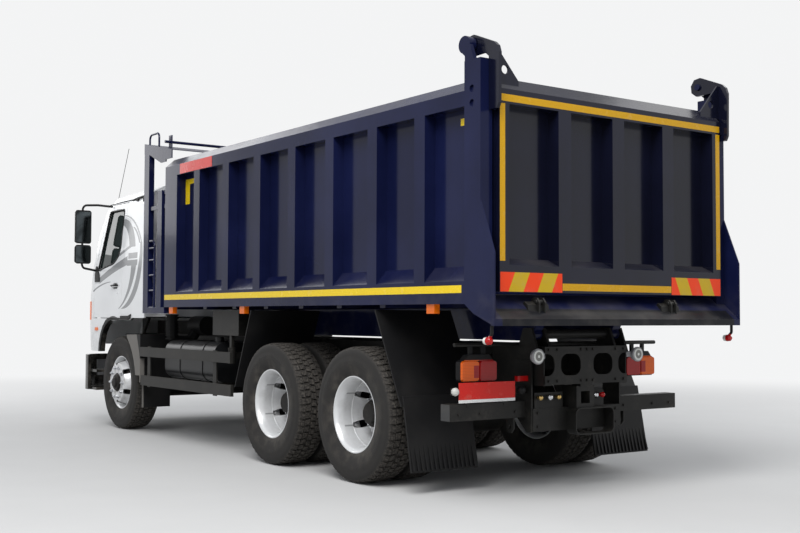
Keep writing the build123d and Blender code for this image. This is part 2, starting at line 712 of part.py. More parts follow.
def wheel_arch():
    """What the front wheels' arches and the space under the floor take out of the cab's sides."""
    curve = [
        (-5020 - 365 * sin(radians(a)), 860 + 365 * cos(radians(a))) for a in (0, 18, 36, 54, 72, 90)
    ]
    outline = [(-4000, 700), (-4000, CAB_FLOOR_Z[0]), (-4500, CAB_FLOOR_Z[0]), (-4560, 1225)]
    return slab_x(outline + curve + [(-5385, 700)], (-1300, 1300))


def cab_arms():
    """Arms under the floor that swing on the cab's tilt pins."""
    x = (RAIL_OUTER_X + 26, RAIL_OUTER_X + 56)
    arm = slab_x(
        ((CAB_PIVOT_Y - 34, 730), (CAB_PIVOT_Y + 34, 730), (CAB_PIVOT_Y + 60, 1000), (-5700, CAB_FLOOR_Z[0] + 5),
         (-5880, CAB_FLOOR_Z[0] + 5), (CAB_PIVOT_Y - 34, 1000)),
        x,
    )
    bore = Pos(RAIL_OUTER_X, CAB_PIVOT_Y, CAB_PIVOT_Z) * Rot(Y=90) * Cylinder(CAB_PIN_RADIUS + RUNNING_GAP, 200)
    return both_sides(arm - bore)


def cab_shell(outer, inner):
    """The cab's skin with its floor, door openings, windows and wheel arches."""
    shell = outer - (inner - block((-1300, 1300), (-6300, -4000), (700, CAB_FLOOR_Z[1])))
    shell -= block((-1150, 1150), (-6012, -4000), (700, CAB_FLOOR_Z[0]))
    shell -= block((-1150, 1150), (-6300, -5900), (700, 930))
    shell -= wheel_arch()
    shell -= slab_x(door_outline(PANEL_GAP), (-1300, -1000))
    shell -= slab_x(door_outline(PANEL_GAP), (1000, 1300))
    shell -= slab_y(WINDSCREEN, (-6300, -5300))
    shell -= slab_y(REAR_WINDOW, (-4300, -4000))
    shell -= block((-720, 720), (-6300, -6030), (990, 1520))
    corner_cut = slab_x(((-6200, 700), (-6200, 930), (-5830, 930), (-5800, 860), (-5380, 860), (-5380, 700)),
                        (-1300, 1300))
    shell -= corner_cut
    relief = round_bar((DOOR_PIN[0], DOOR_PIN[1], 1734), (DOOR_PIN[0], DOOR_PIN[1], 1776), DOOR_PIN_RADIUS + 10)
    for bore in both_sides(door_pins(RUNNING_GAP, 1) + relief):
        shell -= bore
    return fused([shell] + cab_arms())


def door_pins(grow, longer):
    """The left door's two hinge pins, below its front corner and above its belt line."""
    x, y = DOOR_PIN
    lower = round_bar((x, y, 1226 - longer), (x, y, 1262), DOOR_PIN_RADIUS + grow)
    upper = round_bar((x, y, 1700), (x, y, 1800 + longer), DOOR_PIN_RADIUS + grow)
    return lower + upper


def door(skin, side):
    """One door leaf, cut from the skin, with its window opening, hinge pins and a bevelled front edge."""
    x = (1000, 1300) if side == LEFT else (-1300, -1000)
    bevel = slab_z(((1190, -5641), (1212, -5641), (1212, -5604)), (DOOR_BOTTOM, 1830))
    leaf = (skin & slab_x(door_outline(0), x)) - slab_x(door_window(0), x)
    handle_plane = Plane(origin=(1182, -4975, 1609), x_dir=(0, 1, 0), z_dir=(1, 0, 0))
    recess = extrude(handle_plane * RectangleRounded(150, 66, 30), amount=30)
    pull = extrude(handle_plane * RectangleRounded(160, 26, 12), amount=22)
    fittings = fused([pull, door_pins(0, 0)])
    return leaf - on_side(bevel, side) - on_side(recess, side) + on_side(fittings, side)


def door_glass(glass, side):
    """The pane in one door."""
    x = (1000, 1300) if side == LEFT else (-1300, -1000)
    return glass & slab_x(door_window(0), x)


def mirror_head(side):
    """Two mirror heads on a bent stay, from the door's top rail to a plate at its lower front corner."""
    upper_plane = Plane(origin=(1388, -5505, 2305), x_dir=(1, 0, 0), z_dir=(0, -1, 0))
    upper = extrude(upper_plane * RectangleRounded(194, 390, 30), amount=62, taper=14)
    lower_plane = Plane(origin=(1388, -5505, 1985), x_dir=(1, 0, 0), z_dir=(0, -1, 0))
    lower = extrude(lower_plane * RectangleRounded(194, 220, 34), amount=58, taper=14)
    garnish = slab_x(((-5600, 1668), (-5600, 1730), (-5580, 1836), (-5556, 1852), (-5470, 1745), (-5470, 1668)),
                     (1190, 1206))
    stay = bar(
        ((1140, -5250, 2535), (1250, -5420, 2560), (1385, -5540, 2560), (1385, -5540, 1830), (1185, -5590, 1800)),
        13,
        bend=50,
    )
    return on_side(fused([upper, lower, stay, garnish]), side)


def arch_lips():
    """The dark lips round the wheel arches, on the cab's sides."""
    centre_y, centre_z = -5020, 860
    steps = (0, 15, 30, 45, 60, 75, 90)

    def edge(radius):
        return [(centre_y - radius * sin(radians(a)), centre_z + radius * cos(radians(a))) for a in steps]

    inner, outer = edge(366), edge(412)
    rear_inner, rear_outer = [(-4565, 1226), (-4500, 1251)], [(-4555, 1272), (-4490, 1290)]
    outline = rear_inner[::-1] + inner + outer[::-1] + rear_outer
    lip = slab_x(outline, (1200, 1214)) - slab_x(door_outline(PANEL_GAP), (1190, 1220))
    return both_sides(lip)


def cab_lamps():
    """The amber turn lamps wrapped round the cab's front corners, and a marker on each side."""
    proud = cab_form(-7) - cab_form(0)
    corner = proud & block((1030, 1300), (-6200, -5720), (1225, 1440))
    marker = block((1200, 1212), (-5560, -5490), (1100, 1136))
    return both_sides(corner) + both_sides(marker)


def grille():
    """The grille panel with its slots, let into the cab's front."""
    panel = block((-714, 714), (-6075, -6032), (996, 1514))
    for z in (1040, 1120, 1200, 1280, 1360):
        panel -= block((-640, 640), (-6100, -6050), (z, z + 50))
    return panel


def seats():
    """Driver's and passenger's seats on their bases."""
    pieces = []
    for x in (-520, 520):
        base = block((x - 200, x + 200), (-5000, -4600), (CAB_FLOOR_Z[1], 1560))
        cushion = block((x - 250, x + 250), (-5060, -4560), (1560, 1700))
        back = slab_x(((-4700, 1690), (-4560, 1690), (-4440, 2260), (-4550, 2260)), (x - 245, x + 245))
        rest = slab_x(((-4540, 2250), (-4450, 2250), (-4420, 2430), (-4510, 2430)), (x - 130, x + 130))
        pieces.append(fused([base, cushion, back, rest]))
    return pieces


def dashboard():
    """The dashboard across the cab, with column and steering wheel on the left."""
    body = slab_x(
        ((-5870, 1480), (-5870, 1760), (-5760, 1790), (-5600, 1740), (-5560, 1600), (-5640, 1480)), (-1060, 1060)
    )
    body &= slab_z(
        ((-940, -5870), (940, -5870), (1060, -5730), (1060, -5500), (-1060, -5500), (-1060, -5730)), (1400, 1800)
    )
    leg = block((-500, 500), (-5880, -5760), (CAB_FLOOR_Z[1], 1500))
    wheel_plane = Plane(origin=(520, -5420, 1830), z_dir=(0, 0.62, 0.78))
    ring = extrude(wheel_plane * (RegularPolygon(225, 20) - RegularPolygon(195, 20)), amount=26)
    spokes = extrude(wheel_plane * (Rectangle(400, 44) + Pos(0, -100) * Rectangle(44, 200)), amount=18)
    column = bar(((520, -5620, 1600), (520, -5415, 1836)), 34)
    return fused([body, leg, ring, spokes, column])


# Tipping body


def side_wall():
    """The left wall: sheet, rails, ribs, kick plates and front post in one welding."""
    sheet = block((PANEL_X - SHEET, PANEL_X), (BODY_FRONT, REAR_POST[0]), (RAIL_LOW_Z[0], CAP_Z))
    low = block((PANEL_X - 1, BODY_HALF), (BODY_FRONT, REAR_POST[0]), RAIL_LOW_Z)
    top = slab_y(
        ((PANEL_X - SHEET, RAIL_TOP_Z[0]), (BODY_HALF, RAIL_TOP_Z[0]), (BODY_HALF, RAIL_TOP_Z[1]),
         (PANEL_X, CAP_Z), (PANEL_X - SHEET, CAP_Z)),
        (BODY_FRONT, REAR_POST[0]),
    )
    kick = slab_y(((PANEL_X - 1, 1514), (BODY_HALF, 1514), (PANEL_X - 1, 1620)), (BODY_FRONT, REAR_POST[0]))
    post = block((PANEL_X - 1, BODY_HALF), (BODY_FRONT, FRONT_POST_END), (1514, 2696))
    ribs = [
        block((PANEL_X - 1, BODY_HALF), (y - RIB_WIDTH / 2, y + RIB_WIDTH / 2), (1514, 2696))
        for y in RIB_STATIONS
    ]
    return fused([sheet, low, top, kick, post] + ribs + rear_post())


def rear_post():
    """The left rear post, its guide plate, and the bracket for the tailgate's pivot."""
    low, high = REAR_POST
    post = block((REAR_POST_INNER_X, BODY_HALF), (low, high), (RAIL_LOW_Z[0], REAR_POST_TOP))
    ear = slab_x(
        ((low, RAIL_LOW_Z[0]), (1484, 1297), (1690, 1217), (REAR_LIP, 1217), (REAR_LIP, 1695), (1545, 2080),
         (low, 2080)),
        (BODY_HALF - 10, BODY_HALF),
    )
    y, z = GATE_PIVOT_Y, GATE_PIVOT_Z
    bracket = slab_x(
        ((low + 4, 2990), (low + 4, 3035), (y - 52, z - 30), (y - 40, z + 44), (y + 40, z + 44), (low + 104, 2990)),
        (BODY_HALF - 30, BODY_HALF),
    )
    boss = round_bar((GATE_ARM_X[1] + 8, y, z), (BODY_HALF, y, z), 60)
    pin = round_bar((GATE_ARM_X[0] - 15, y, z), (BODY_HALF, y, z), GATE_PIN_RADIUS)
    holes = [
        Pos(BODY_HALF, 1468, z) * Rot(Y=90) * Cylinder(25, 30) for z in (2804, 2706)
    ]
    welded = fused([post, ear, bracket, boss, pin])
    for hole in holes:
        welded -= hole
    return [welded]


def body_front():
    """The front wall with its ribs."""
    half = PANEL_X - SHEET
    sheet = block((-half, half), (BODY_FRONT + 64, BODY_FRONT + 72), (RAIL_LOW_Z[0], CAP_Z))
    frame_bars = [
        block((-half, half), (BODY_FRONT, BODY_FRONT + 65), z)
        for z in ((RAIL_LOW_Z[0], 1460), (2785, CAP_Z))
    ]
    ribs = [
        block((x - 45, x + 45), (BODY_FRONT, BODY_FRONT + 65), (1459, 2786)) for x in (-900, -480, -85, 85, 480, 900)
    ]
    return fused([sheet] + frame_bars + ribs)


def hoist_bracket():
    """The plate on the front wall and its two hooks, which the hoist's pin bears up against."""
    y, z = HOIST_Y, HOIST_EYE_Z
    plate = block((-125, 125), (BODY_FRONT - 12, BODY_FRONT), (2140, 2510))
    lug = slab_x(
        ((BODY_FRONT - 12, 2150), (BODY_FRONT - 12, 2500), (y - 20, z + 62), (y - 62, z + 50), (y - 62, z - 40),
         (y, z - 62), (y + 95, z - 64)),
        (62, 86),
    )
    seat = round_bar((60, y, z), (88, y, z), HOIST_PIN_RADIUS + RUNNING_GAP)
    r = HOIST_PIN_RADIUS + RUNNING_GAP
    throat = []
    for heading, edge in ((HOOK_OPENS[0], HOOK_OPENS[0] - 90), (HOOK_OPENS[1], HOOK_OPENS[1] + 90)):
        foot = (y + r * cos(radians(edge)), z + r * sin(radians(edge)))
        far = (foot[0] + 160 * cos(radians(heading)), foot[1] + 160 * sin(radians(heading)))
        throat += [foot, far] if not throat else [far, foot]
    lug = lug - slab_x(throat, (60, 88)) - seat
    return fused([plate] + both_sides(lug))


def body_sills():
    """The two sills under the bearers, bored at their rear ends for the tipping shaft."""
    around = [
        (TIP_HINGE_Y + 48 * cos(radians(a)), TIP_HINGE_Z + 48 * sin(radians(a))) for a in (-90, -60, -30, 0, 30)
    ]
    sill = slab_x([(-3300, SILL_Z[0] + 60), (-3240, SILL_Z[0])] + around + [(1300, SILL_Z[1]), (-3300, SILL_Z[1])], SILL_X)
    bore = Pos(0, TIP_HINGE_Y, TIP_HINGE_Z) * Rot(Y=90) * Cylinder(TIP_PIN_RADIUS + RUNNING_GAP, 1000)
    return both_sides(sill - bore)


def body_floor():
    """The floor sheet on its cross bearers, with the chute behind it."""
    half = PANEL_X - SHEET
    front = BODY_FRONT + 72
    sheet = block((-half, half), (front, 1490), (FLOOR_TOP - SHEET, FLOOR_TOP))
    stations = (-3380,) + RIB_STATIONS + (1380,)
    bearers = [block((-half, half), (y - 35, y + 35), BEARER_Z) for y in stations]
    chute = slab_x(((1480, 1428), (1500, 1430), (1698, 1262), (REAR_LIP, 1217), (1650, 1217), (1650, 1250), (1480, 1405)),
                   (-BODY_HALF + 11, BODY_HALF - 11))
    posts = both_sides(block((REAR_POST_INNER_X - 1, 1300), (1380, REAR_POST[1] + 1), (1200, 1500)))
    return fused([sheet, chute] + bearers) - posts[0] - posts[1]


def tailgate():
    """The gate: sheet, uprights, beams, sloped cap and the arms that hang it from the pivots."""
    half = GATE_HALF
    sheet = block((-half, half), (GATE_PANEL_Y - SHEET, GATE_PANEL_Y), (GATE_Z[0], GATE_CAP_Z))
    depth = (GATE_PANEL_Y - 1, GATE_FACE_Y)
    top = slab_x(((GATE_PANEL_Y - 1, 2700), (GATE_FACE_Y, 2700), (GATE_FACE_Y, GATE_Z[1]), (1550, GATE_CAP_Z),
                  (GATE_PANEL_Y - 1, GATE_CAP_Z)), (-half, half))
    low = slab_x(((GATE_PANEL_Y - 1, GATE_Z[0]), (GATE_FACE_Y, GATE_Z[0]), (GATE_FACE_Y, 1621),
                  (GATE_PANEL_Y - 1, 1671)), (-half, half))
    uprights = [block((x - w / 2, x + w / 2), depth, (1600, 2720)) for x, w in
                ((-1082, 86), (-530, 120), (0, 120), (530, 120), (1082, 86))]
    y, z = GATE_PIVOT_Y, GATE_PIVOT_Z
    low_y, high_y = REAR_POST[1] + 7, GATE_FACE_Y + 55
    arm = slab_x(
        ((low_y, 2654), (high_y - 22, 2654), (high_y - 4, 2690), (high_y, 3025), (high_y - 16, 3072), (high_y - 50, 3102),
         (y + 20, z + 75), (y - 40, z + 66), (y - 72, z + 20), (y - 66, z - 36), (y - 20, z - 70), (1520, 3048),
         (low_y - 2, 3014)),
        GATE_ARM_X,
    )
    arm -= round_bar((GATE_ARM_X[0] - 1, y, z), (GATE_ARM_X[1] + 1, y, z), GATE_PIN_RADIUS + RUNNING_GAP)
    spacer = block((half - 1, GATE_ARM_X[0] + 1), (low_y, GATE_FACE_Y - 1), (2701, 2799))
    x = GATE_ARM_X[0] + 1
    brace = slab_y(((x, 2830), (x, 3090), (x - 20, 3090), (935, 2868), (935, 2830)), (1574, 1588))
    brace -= round_bar((1056, 1570, 2935), (1056, 1592, 2935), 30)
    return fused([sheet, top, low] + uprights + both_sides(fused([arm, spacer, brace])))


def front_canopy():
    """Frames ahead of the body that carry a sloping visor, with a ladder on the left."""
    x = (1185, BODY_HALF)
    post_fore = block(x, (-4065, -3940), (1320, 3050))
    post_aft = block(x, (-3713, -3600), (1320, 2574))
    foot = block(x, (-4065, BODY_FRONT), (1300, 1362))
    ties = [block((1200, 1230), y, z) for y, z in (((-3941, BODY_FRONT), (2385, 2425)), ((-3601, BODY_FRONT), (2534, 2574)))]
    cheek = slab_x(
        ((-4070, 3110), (-3370, 2974), (-3370, CAP_Z), (BODY_FRONT, CAP_Z), (BODY_FRONT, 2863), (-3640, 2863),
         (-3990, 3000), (-4070, 3000)),
        (BODY_HALF - 12, BODY_HALF),
    )
    foot_tie = block((1151, 1186), (-3570, BODY_FRONT), (1300, 1362))
    pieces = both_sides(fused([post_fore, post_aft, foot, cheek, foot_tie] + ties))
    visor = slab_x(((-4070, 3110), (-3370, 2974), (-3370, 2968), (-4070, 3104)), (-BODY_HALF, BODY_HALF))
    roller = bar(((-1175, -3700, 3100), (1175, -3700, 3100)), 15)
    stays = both_sides(block((1104, 1116), (-3735, -3665), (3030, 3170)))
    stile = bar(((1230, -3800, 1345), (1230, -3800, 2060), (1230, -4040, 2060), (1230, -4040, 1990)), 12, bend=60)
    rungs = [bar(((1230, -4050, z), (1230, -3800, z)), 11) for z in (1360, 1540, 1700, 1860, 1985)]
    hoop = bar(((1230, -3960, 3080), (1230, -3960, 3190), (1230, -3720, 3190), (1230, -3720, 3030)), 11, bend=50)
    return fused(pieces + [visor, roller, stile, hoop] + stays + rungs)


def side_lamps():
    """Amber side markers under the bed's edge, and the outline lamps on rubber stalks at its rear."""
    pieces = []
    for y in (-3370, -1825, 996):
        pieces += both_sides(block((1185, 1232), (y - 45, y + 45), (1296, RAIL_LOW_Z[0])))
    stalk = bar(((1216, 1640, 1217), (1216, 1640, 1160), (1216, 1600, 1124)), 11, bend=25)
    ball = Pos(1216, 1600, 1118) * Rot(Z=90) * turned(on_axis(((-38, 12), (-26, 24), (0, 27), (26, 24), (38, 12))))
    return pieces + both_sides(stalk + ball)


# Hoist


def hoist_stage(radius, wall, low, high):
    """One tube of the telescopic cylinder, standing on its foot."""
    plane = Plane(origin=(0, HOIST_Y, low))
    ring = RegularPolygon(radius, 20)
    if wall:
        ring = ring - RegularPolygon(radius - wall, 20)
    return extrude(plane * ring, amount=high - low)


def write_hoist():
    """The outer tube on its trunnions and the four stages inside it."""
    foot = extrude(Plane(origin=(0, HOIST_Y, 958)) * RegularPolygon(110, 20), amount=74)
    tube = hoist_stage(110, 12, 1030, 2230)
    trunnion = round_bar((-158, HOIST_Y, HOIST_FOOT_Z), (158, HOIST_Y, HOIST_FOOT_Z), HOIST_TRUNNION_RADIUS)
    write("hoist_tube", fused([foot, tube, trunnion]))
    table = (
        # stage, radius, wall, low, high
        (1, 95, 9, 1036, 2245),
        (2, 82, 9, 1042, 2260),
        (3, 69, 9, 1048, 2275),
    )
    for stage, radius, wall, low, high in table:
        write(f"hoist_stage_{stage}", hoist_stage(radius, wall, low, high))
    ram = hoist_stage(56, 0, 1054, 2300)
    eye = Pos(0, HOIST_Y, HOIST_EYE_Z) * Rot(Y=90) * Cylinder(52, 100)
    pin = Pos(0, HOIST_Y, HOIST_EYE_Z) * Rot(Y=90) * Cylinder(HOIST_PIN_RADIUS, 184)
    write("hoist_stage_4", fused([ram, eye, pin]))


def write_chassis():
    """Everything that stays with the frame."""
    write("frame", frame())
    write("engine", engine())
    write("driveline", *driveline())
    write("front_axle", front_axle())
    write("rear_axles", rear_axle(AXLE_MIDDLE), rear_axle(AXLE_REAR))
    write("leaf_springs", *leaf_springs())
    write("fuel_tank", fuel_tank())
    write("oil_tank", oil_tank())
    write("battery_box", battery_box())
    write("air_tanks", air_tanks())
    write("silencer", silencer())
    write("side_guards", *both_sides(side_guard()))
    mudguards = [piece for half in rear_mudguard() for piece in both_sides(half)]
    write("mudguards", *mudguards, *both_sides(front_mudguard()))
    write("underrun_bar", underrun_bar())
    write("lamps", *lamps())
    write("clear_lamps", *clear_lamps())
    write("air_duct", air_duct())
    write("bumper", bumper())


def write_steering():
    """Both knuckles and the rod between them."""
    write("knuckle_left", knuckle(LEFT))
    write("knuckle_right", knuckle(RIGHT))
    write("tie_rod", tie_rod())


def write_cab():
    """The cab with its doors, glass and fittings."""
    outer, inner = cab_form(0), cab_form(CAB_SKIN)
    glass = cab_form(18) - cab_form(24)
    skin = outer - inner
    write("cab_shell", cab_shell(outer, inner))
    panes = (glass & slab_y(WINDSCREEN, (-6300, -5300))) + (glass & slab_y(REAR_WINDOW, (-4300, -4000)))
    write("cab_glass", panes)
    write("grille", grille())
    write("arch_lips", *arch_lips())
    write("cab_lamps", *cab_lamps())
    write("seats", *seats())
    write("dashboard", dashboard())
    for side, word in ((LEFT, "left"), (RIGHT, "right")):
        write(f"door_{word}", door(skin, side))
        write(f"door_glass_{word}", door_glass(glass, side))
        write(f"mirrors_{word}", mirror_head(side))


def write_body():
    """The tipping body, its tailgate and the frames ahead of it."""
    wall = side_wall()
    write("body_side_left", wall)
    write("body_side_right", mirror(wall, about=Plane.YZ))
    write("body_front", body_front())
    write("body_floor", body_floor())
    write("body_sills", *body_sills())
    write("hoist_bracket", hoist_bracket())
    write("side_lamps", *side_lamps())
    write("front_canopy", front_canopy())
    write("tailgate", tailgate())


write_wheels()
write_steering()
write_chassis()
write_cab()
write_body()
write_hoist()
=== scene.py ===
# %% [markdown]
# # A tipper lorry, dressed
#
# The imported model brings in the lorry's solids: frame, cab, wheels, body, hoist. This lesson gives them
# their paint, rubber, glass and dust, and adds the small things that a solid model leaves out: tread,
# nuts, tapes, handles, couplings. Everything ends up in metres, in the frame that the solids use, so a
# new piece goes where the solids say and needs no fitting.

# %% Load the frame
import bpy
import json
from math import cos, pi, radians, sin
from mathutils import Matrix, Vector


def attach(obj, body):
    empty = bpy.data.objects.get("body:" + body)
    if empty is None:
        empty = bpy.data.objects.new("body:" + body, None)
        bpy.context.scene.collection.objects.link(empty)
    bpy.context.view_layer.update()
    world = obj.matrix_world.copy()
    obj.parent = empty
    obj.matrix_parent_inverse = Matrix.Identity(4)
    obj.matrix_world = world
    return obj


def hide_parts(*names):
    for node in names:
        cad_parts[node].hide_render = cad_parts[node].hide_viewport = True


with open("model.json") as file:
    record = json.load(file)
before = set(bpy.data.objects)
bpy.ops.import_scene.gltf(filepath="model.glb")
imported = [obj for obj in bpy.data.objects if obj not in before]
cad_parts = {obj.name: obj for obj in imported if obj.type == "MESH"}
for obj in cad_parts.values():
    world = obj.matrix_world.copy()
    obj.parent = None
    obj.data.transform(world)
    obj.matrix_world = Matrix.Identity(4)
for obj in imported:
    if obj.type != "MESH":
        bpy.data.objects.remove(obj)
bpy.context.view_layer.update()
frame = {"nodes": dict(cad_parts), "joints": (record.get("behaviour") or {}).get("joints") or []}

# %% [markdown]
# ## Where things are
#
# The solids were drawn in millimetres, counted from the last axle. The same numbers are used here for
# added pieces, and one helper turns them into metres in the frame. Masks in the finishes count metres
# from that axle, whose place is read from the wheel's own joint.

# %% Places
JOINTS = {joint["name"]: joint for joint in frame["joints"]}
LAST_AXLE, WHEEL_Z = JOINTS["wheel_rear_left_spin"]["pos_m"][1:]
BOTH = ((1, "left"), (-1, "right"))


def at(x, y, z):
    """Millimetres from the last axle, as a point in metres."""
    return Vector((x / 1000, y / 1000 + LAST_AXLE, z / 1000))


def behind(*metres):
    """Distances behind the last axle as places along the frame."""
    return [LAST_AXLE + m for m in metres]


def side_span(side, inner, outer):
    """The same strip of x on the side that is asked for."""
    return sorted((side * inner, side * outer))


def linked(name, data):
    """A new object that holds data, as part of the scene."""
    made = bpy.data.objects.new(name, data)
    bpy.context.scene.collection.objects.link(made)
    return made


def plain_mesh(name, points, faces):
    """A mesh from points in metres and faces between them."""
    mesh = bpy.data.meshes.new(name)
    mesh.from_pydata(points, [], faces)
    return mesh


print("last axle at y =", LAST_AXLE)

# %% [markdown]
# ## The camera
#
# The photograph was taken from behind and to the left, a little above waist height, with a lens of
# about 50 mm. The camera looks along a heading and tips up slightly, so its three angles are written
# as turns of one matrix instead of a target point.

# %% Camera
HEADING, TIP, ROLL = 0.6200, 0.0444, 0.0036
EYE = (5962.2, 7255.4, 1276.9)
SENSOR, PICTURE_WIDTH, FOCAL_PIXELS = 36, 800, 1122.23
camera_data = bpy.data.cameras.new("photo_camera")
camera_data.sensor_width = SENSOR
camera_data.lens = SENSOR * FOCAL_PIXELS / PICTURE_WIDTH
camera = linked("photo_camera", camera_data)
ahead = Vector((-sin(HEADING) * cos(TIP), -cos(HEADING) * cos(TIP), sin(TIP)))
aside = ahead.cross(Vector((0, 0, 1))).normalized()
turn = Matrix((aside, aside.cross(ahead), -ahead)).transposed() @ Matrix.Rotation(ROLL, 3, "Z")
camera.matrix_world = Matrix.Translation(at(*EYE)) @ turn.to_4x4()
bpy.context.scene.camera = camera
print("camera at", tuple(round(v, 3) for v in camera.location), "lens", round(camera_data.lens, 1))

# %% [markdown]
# ## Shader maths as expressions
#
# A finish is a net of nodes. Written node by node it is long, so one small class wraps a socket and
# lets `a * b` and `1 - a` add the Math nodes. Any other node comes from `node`, which sets the node's
# own settings first and then its sockets.

# %% Socket arithmetic
class Wire:
    """One output socket, on which numbers and other sockets can be added, taken away or multiplied."""

    def __init__(self, finish, socket):
        self.finish, self.socket = finish, socket

    def _math(self, operation, a, b=0.0):
        return self.finish.node("Math", {"operation": operation}, {0: a, 1: b})

    def __add__(self, other):
        return self._math("ADD", self, other)

    def __radd__(self, other):
        return self._math("ADD", other, self)

    def __sub__(self, other):
        return self._math("SUBTRACT", self, other)

    def __rsub__(self, other):
        return self._math("SUBTRACT", other, self)

    def __mul__(self, other):
        return self._math("MULTIPLY", self, other)

    def __rmul__(self, other):
        return self._math("MULTIPLY", other, self)

    def __abs__(self):
        return self._math("ABSOLUTE", self)

    def modulo(self, other):
        return self._math("FLOORED_MODULO", self, other)

    def power(self, other):
        return self._math("POWER", self, other)

    def least(self, other):
        return self._math("MINIMUM", self, other)

    def over(self, low, high):
        """0 below low, 1 above high, smooth between."""
        limits = {"Value": self, "From Min": low, "From Max": high}
        return self.finish.node("MapRange", {"interpolation_type": "SMOOTHSTEP"}, limits)


def reach(u, v):
    """The distance of the point (u, v) from 0."""
    return (u * u + v * v).power(0.5)


def between(value, low, high, soft=0.0015):
    """1 where value lies from low to high."""
    return value.over(low - soft, low) * (1 - value.over(high, high + soft))


class Finish:
    """A material or a world under construction."""

    SPECULAR = 0.2

    def __init__(self, name, kind="materials"):
        self.material = getattr(bpy.data, kind).new(name)
        self.material.use_nodes = True
        self.tree = self.material.node_tree
        self.tree.nodes.clear()

    def node(self, kind, settings=None, inputs=None, out=0):
        made = self.tree.nodes.new("ShaderNode" + kind)
        for key, value in (settings or {}).items():
            setattr(made, key, value)
        for key, value in (inputs or {}).items():
            if isinstance(value, Wire):
                self.tree.links.new(value.socket, made.inputs[key])
            else:
                made.inputs[key].default_value = value
        return Wire(self, made.outputs[out]) if made.outputs else None

    def place(self):
        """The point on the piece, as one vector and as x, y and z."""
        point = self.node("TexCoord", out=3)
        apart = [self.node("SeparateXYZ", {}, {0: point}, i) for i in range(3)]
        return [point] + apart

    def facing(self, axis):
        """How far the surface faces along an axis: 1 for y is the rear, 2 for z the sky."""
        normal = self.node("NewGeometry", out=1)
        return self.node("SeparateXYZ", {}, {0: normal}, axis)

    def noise(self, point, scale, detail=3.0, rough=0.55):
        inputs = {"Vector": point, "Scale": scale, "Detail": detail, "Roughness": rough}
        return self.node("TexNoise", {}, inputs)

    def stretched(self, point, x, y, z):
        return self.node("VectorMath", {"operation": "MULTIPLY"}, {0: point, 1: (x, y, z)})

    def mix(self, amount, first, second):
        """first where amount is 0, second where it is 1."""
        first, second = [c if isinstance(c, Wire) else (*c, 1) for c in (first, second)]
        return self.node("Mix", {"data_type": "RGBA"}, {0: amount, 6: first, 7: second}, 2)

    def bump(self, height, strength, distance=0.002):
        return self.node("Bump", {}, {"Height": height, "Strength": strength, "Distance": distance})

    def surface(self, colour, **sockets):
        """The shader itself. Its sockets are named in words, such as roughness or coat_weight."""
        values = {"Base Color": colour, "Specular IOR Level": self.SPECULAR}
        for key, value in sockets.items():
            values[key.replace("_", " ").title().replace("Ior", "IOR")] = value
        shader = self.node("BsdfPrincipled", {}, values)
        self.node("OutputMaterial", {}, {"Surface": shader})
        print("finish", self.material.name, "from", len(self.tree.nodes), "nodes")
        return self.material


# %% [markdown]
# ## Paint
#
# The body wears a deep navy gloss that has been washed but not polished: broad cloudy patches, thin
# runs down the panels and a little road dust low down. A fine bump gives the skin of sprayed paint.

# %% Navy body paint
def navy_paint(name, dark, light, gloss):
    """Navy with clouds, runs and dust. The chute's inside below the tailgate is painted nearly black, as
    painted shade.
    """
    f = Finish(name)
    point, x, y, z = f.place()
    clouds = f.noise(point, 1.3, 4.0)
    runs = f.noise(f.stretched(point, 9, 9, 0.7), 1.6, 3.0)
    low_dust = (1 - z.over(1.2, 1.6)) * f.noise(point, 6.0).over(0.42, 0.7)
    ledge_dust = f.facing(2).over(0.5, 0.9) * f.noise(point, 3.0).over(0.3, 0.7)
    dust = (low_dust * 0.1 + ledge_dust * 0.16).least(0.5)
    base = f.mix(clouds.over(0.35, 0.7), dark, light)
    # painted shade: the inside of the chute below the tailgate is made nearly black
    chute = y.over(*behind(1.615, 1.62)) * (1 - z.over(1.42, 1.44)) * (1 - abs(x).over(1.17, 1.18))
    base = f.mix(chute, base, (0.006, 0.0065, 0.009))
    colour = f.mix(dust, base, (0.16, 0.145, 0.13))
    worn_top = f.facing(2).over(0.6, 0.95)
    rough = 0.14 + clouds * 0.06 + runs.over(0.5, 0.8) * 0.07 + dust * 0.6 + worn_top * 0.25
    skin = f.bump(f.noise(point, 260.0, 2.0) + f.noise(point, 7.0, 2.0) * 4.0, 0.05, 0.0006)
    return f.surface(
        colour, roughness=rough, normal=skin, specular_ior_level=gloss, coat_weight=0.08, coat_roughness=0.04
    )


NAVY = navy_paint("navy_paint", (0.0045, 0.0065, 0.03), (0.0075, 0.0105, 0.045), 0.12)
# The tailgate's navy is a darker copy of the body's navy: painted shade on the rear face.
SHADED_GATE_NAVY = navy_paint("navy_gate_paint", (0.003, 0.0036, 0.011), (0.0045, 0.0054, 0.017), 0.3)

# %% [markdown]
# The cab is white. Curved grey bands sweep over its side. Each is the strip between two circles seen
# from the side, so the door and the cab behind it share one drawing across their gap, and two short bars
# lie between them.

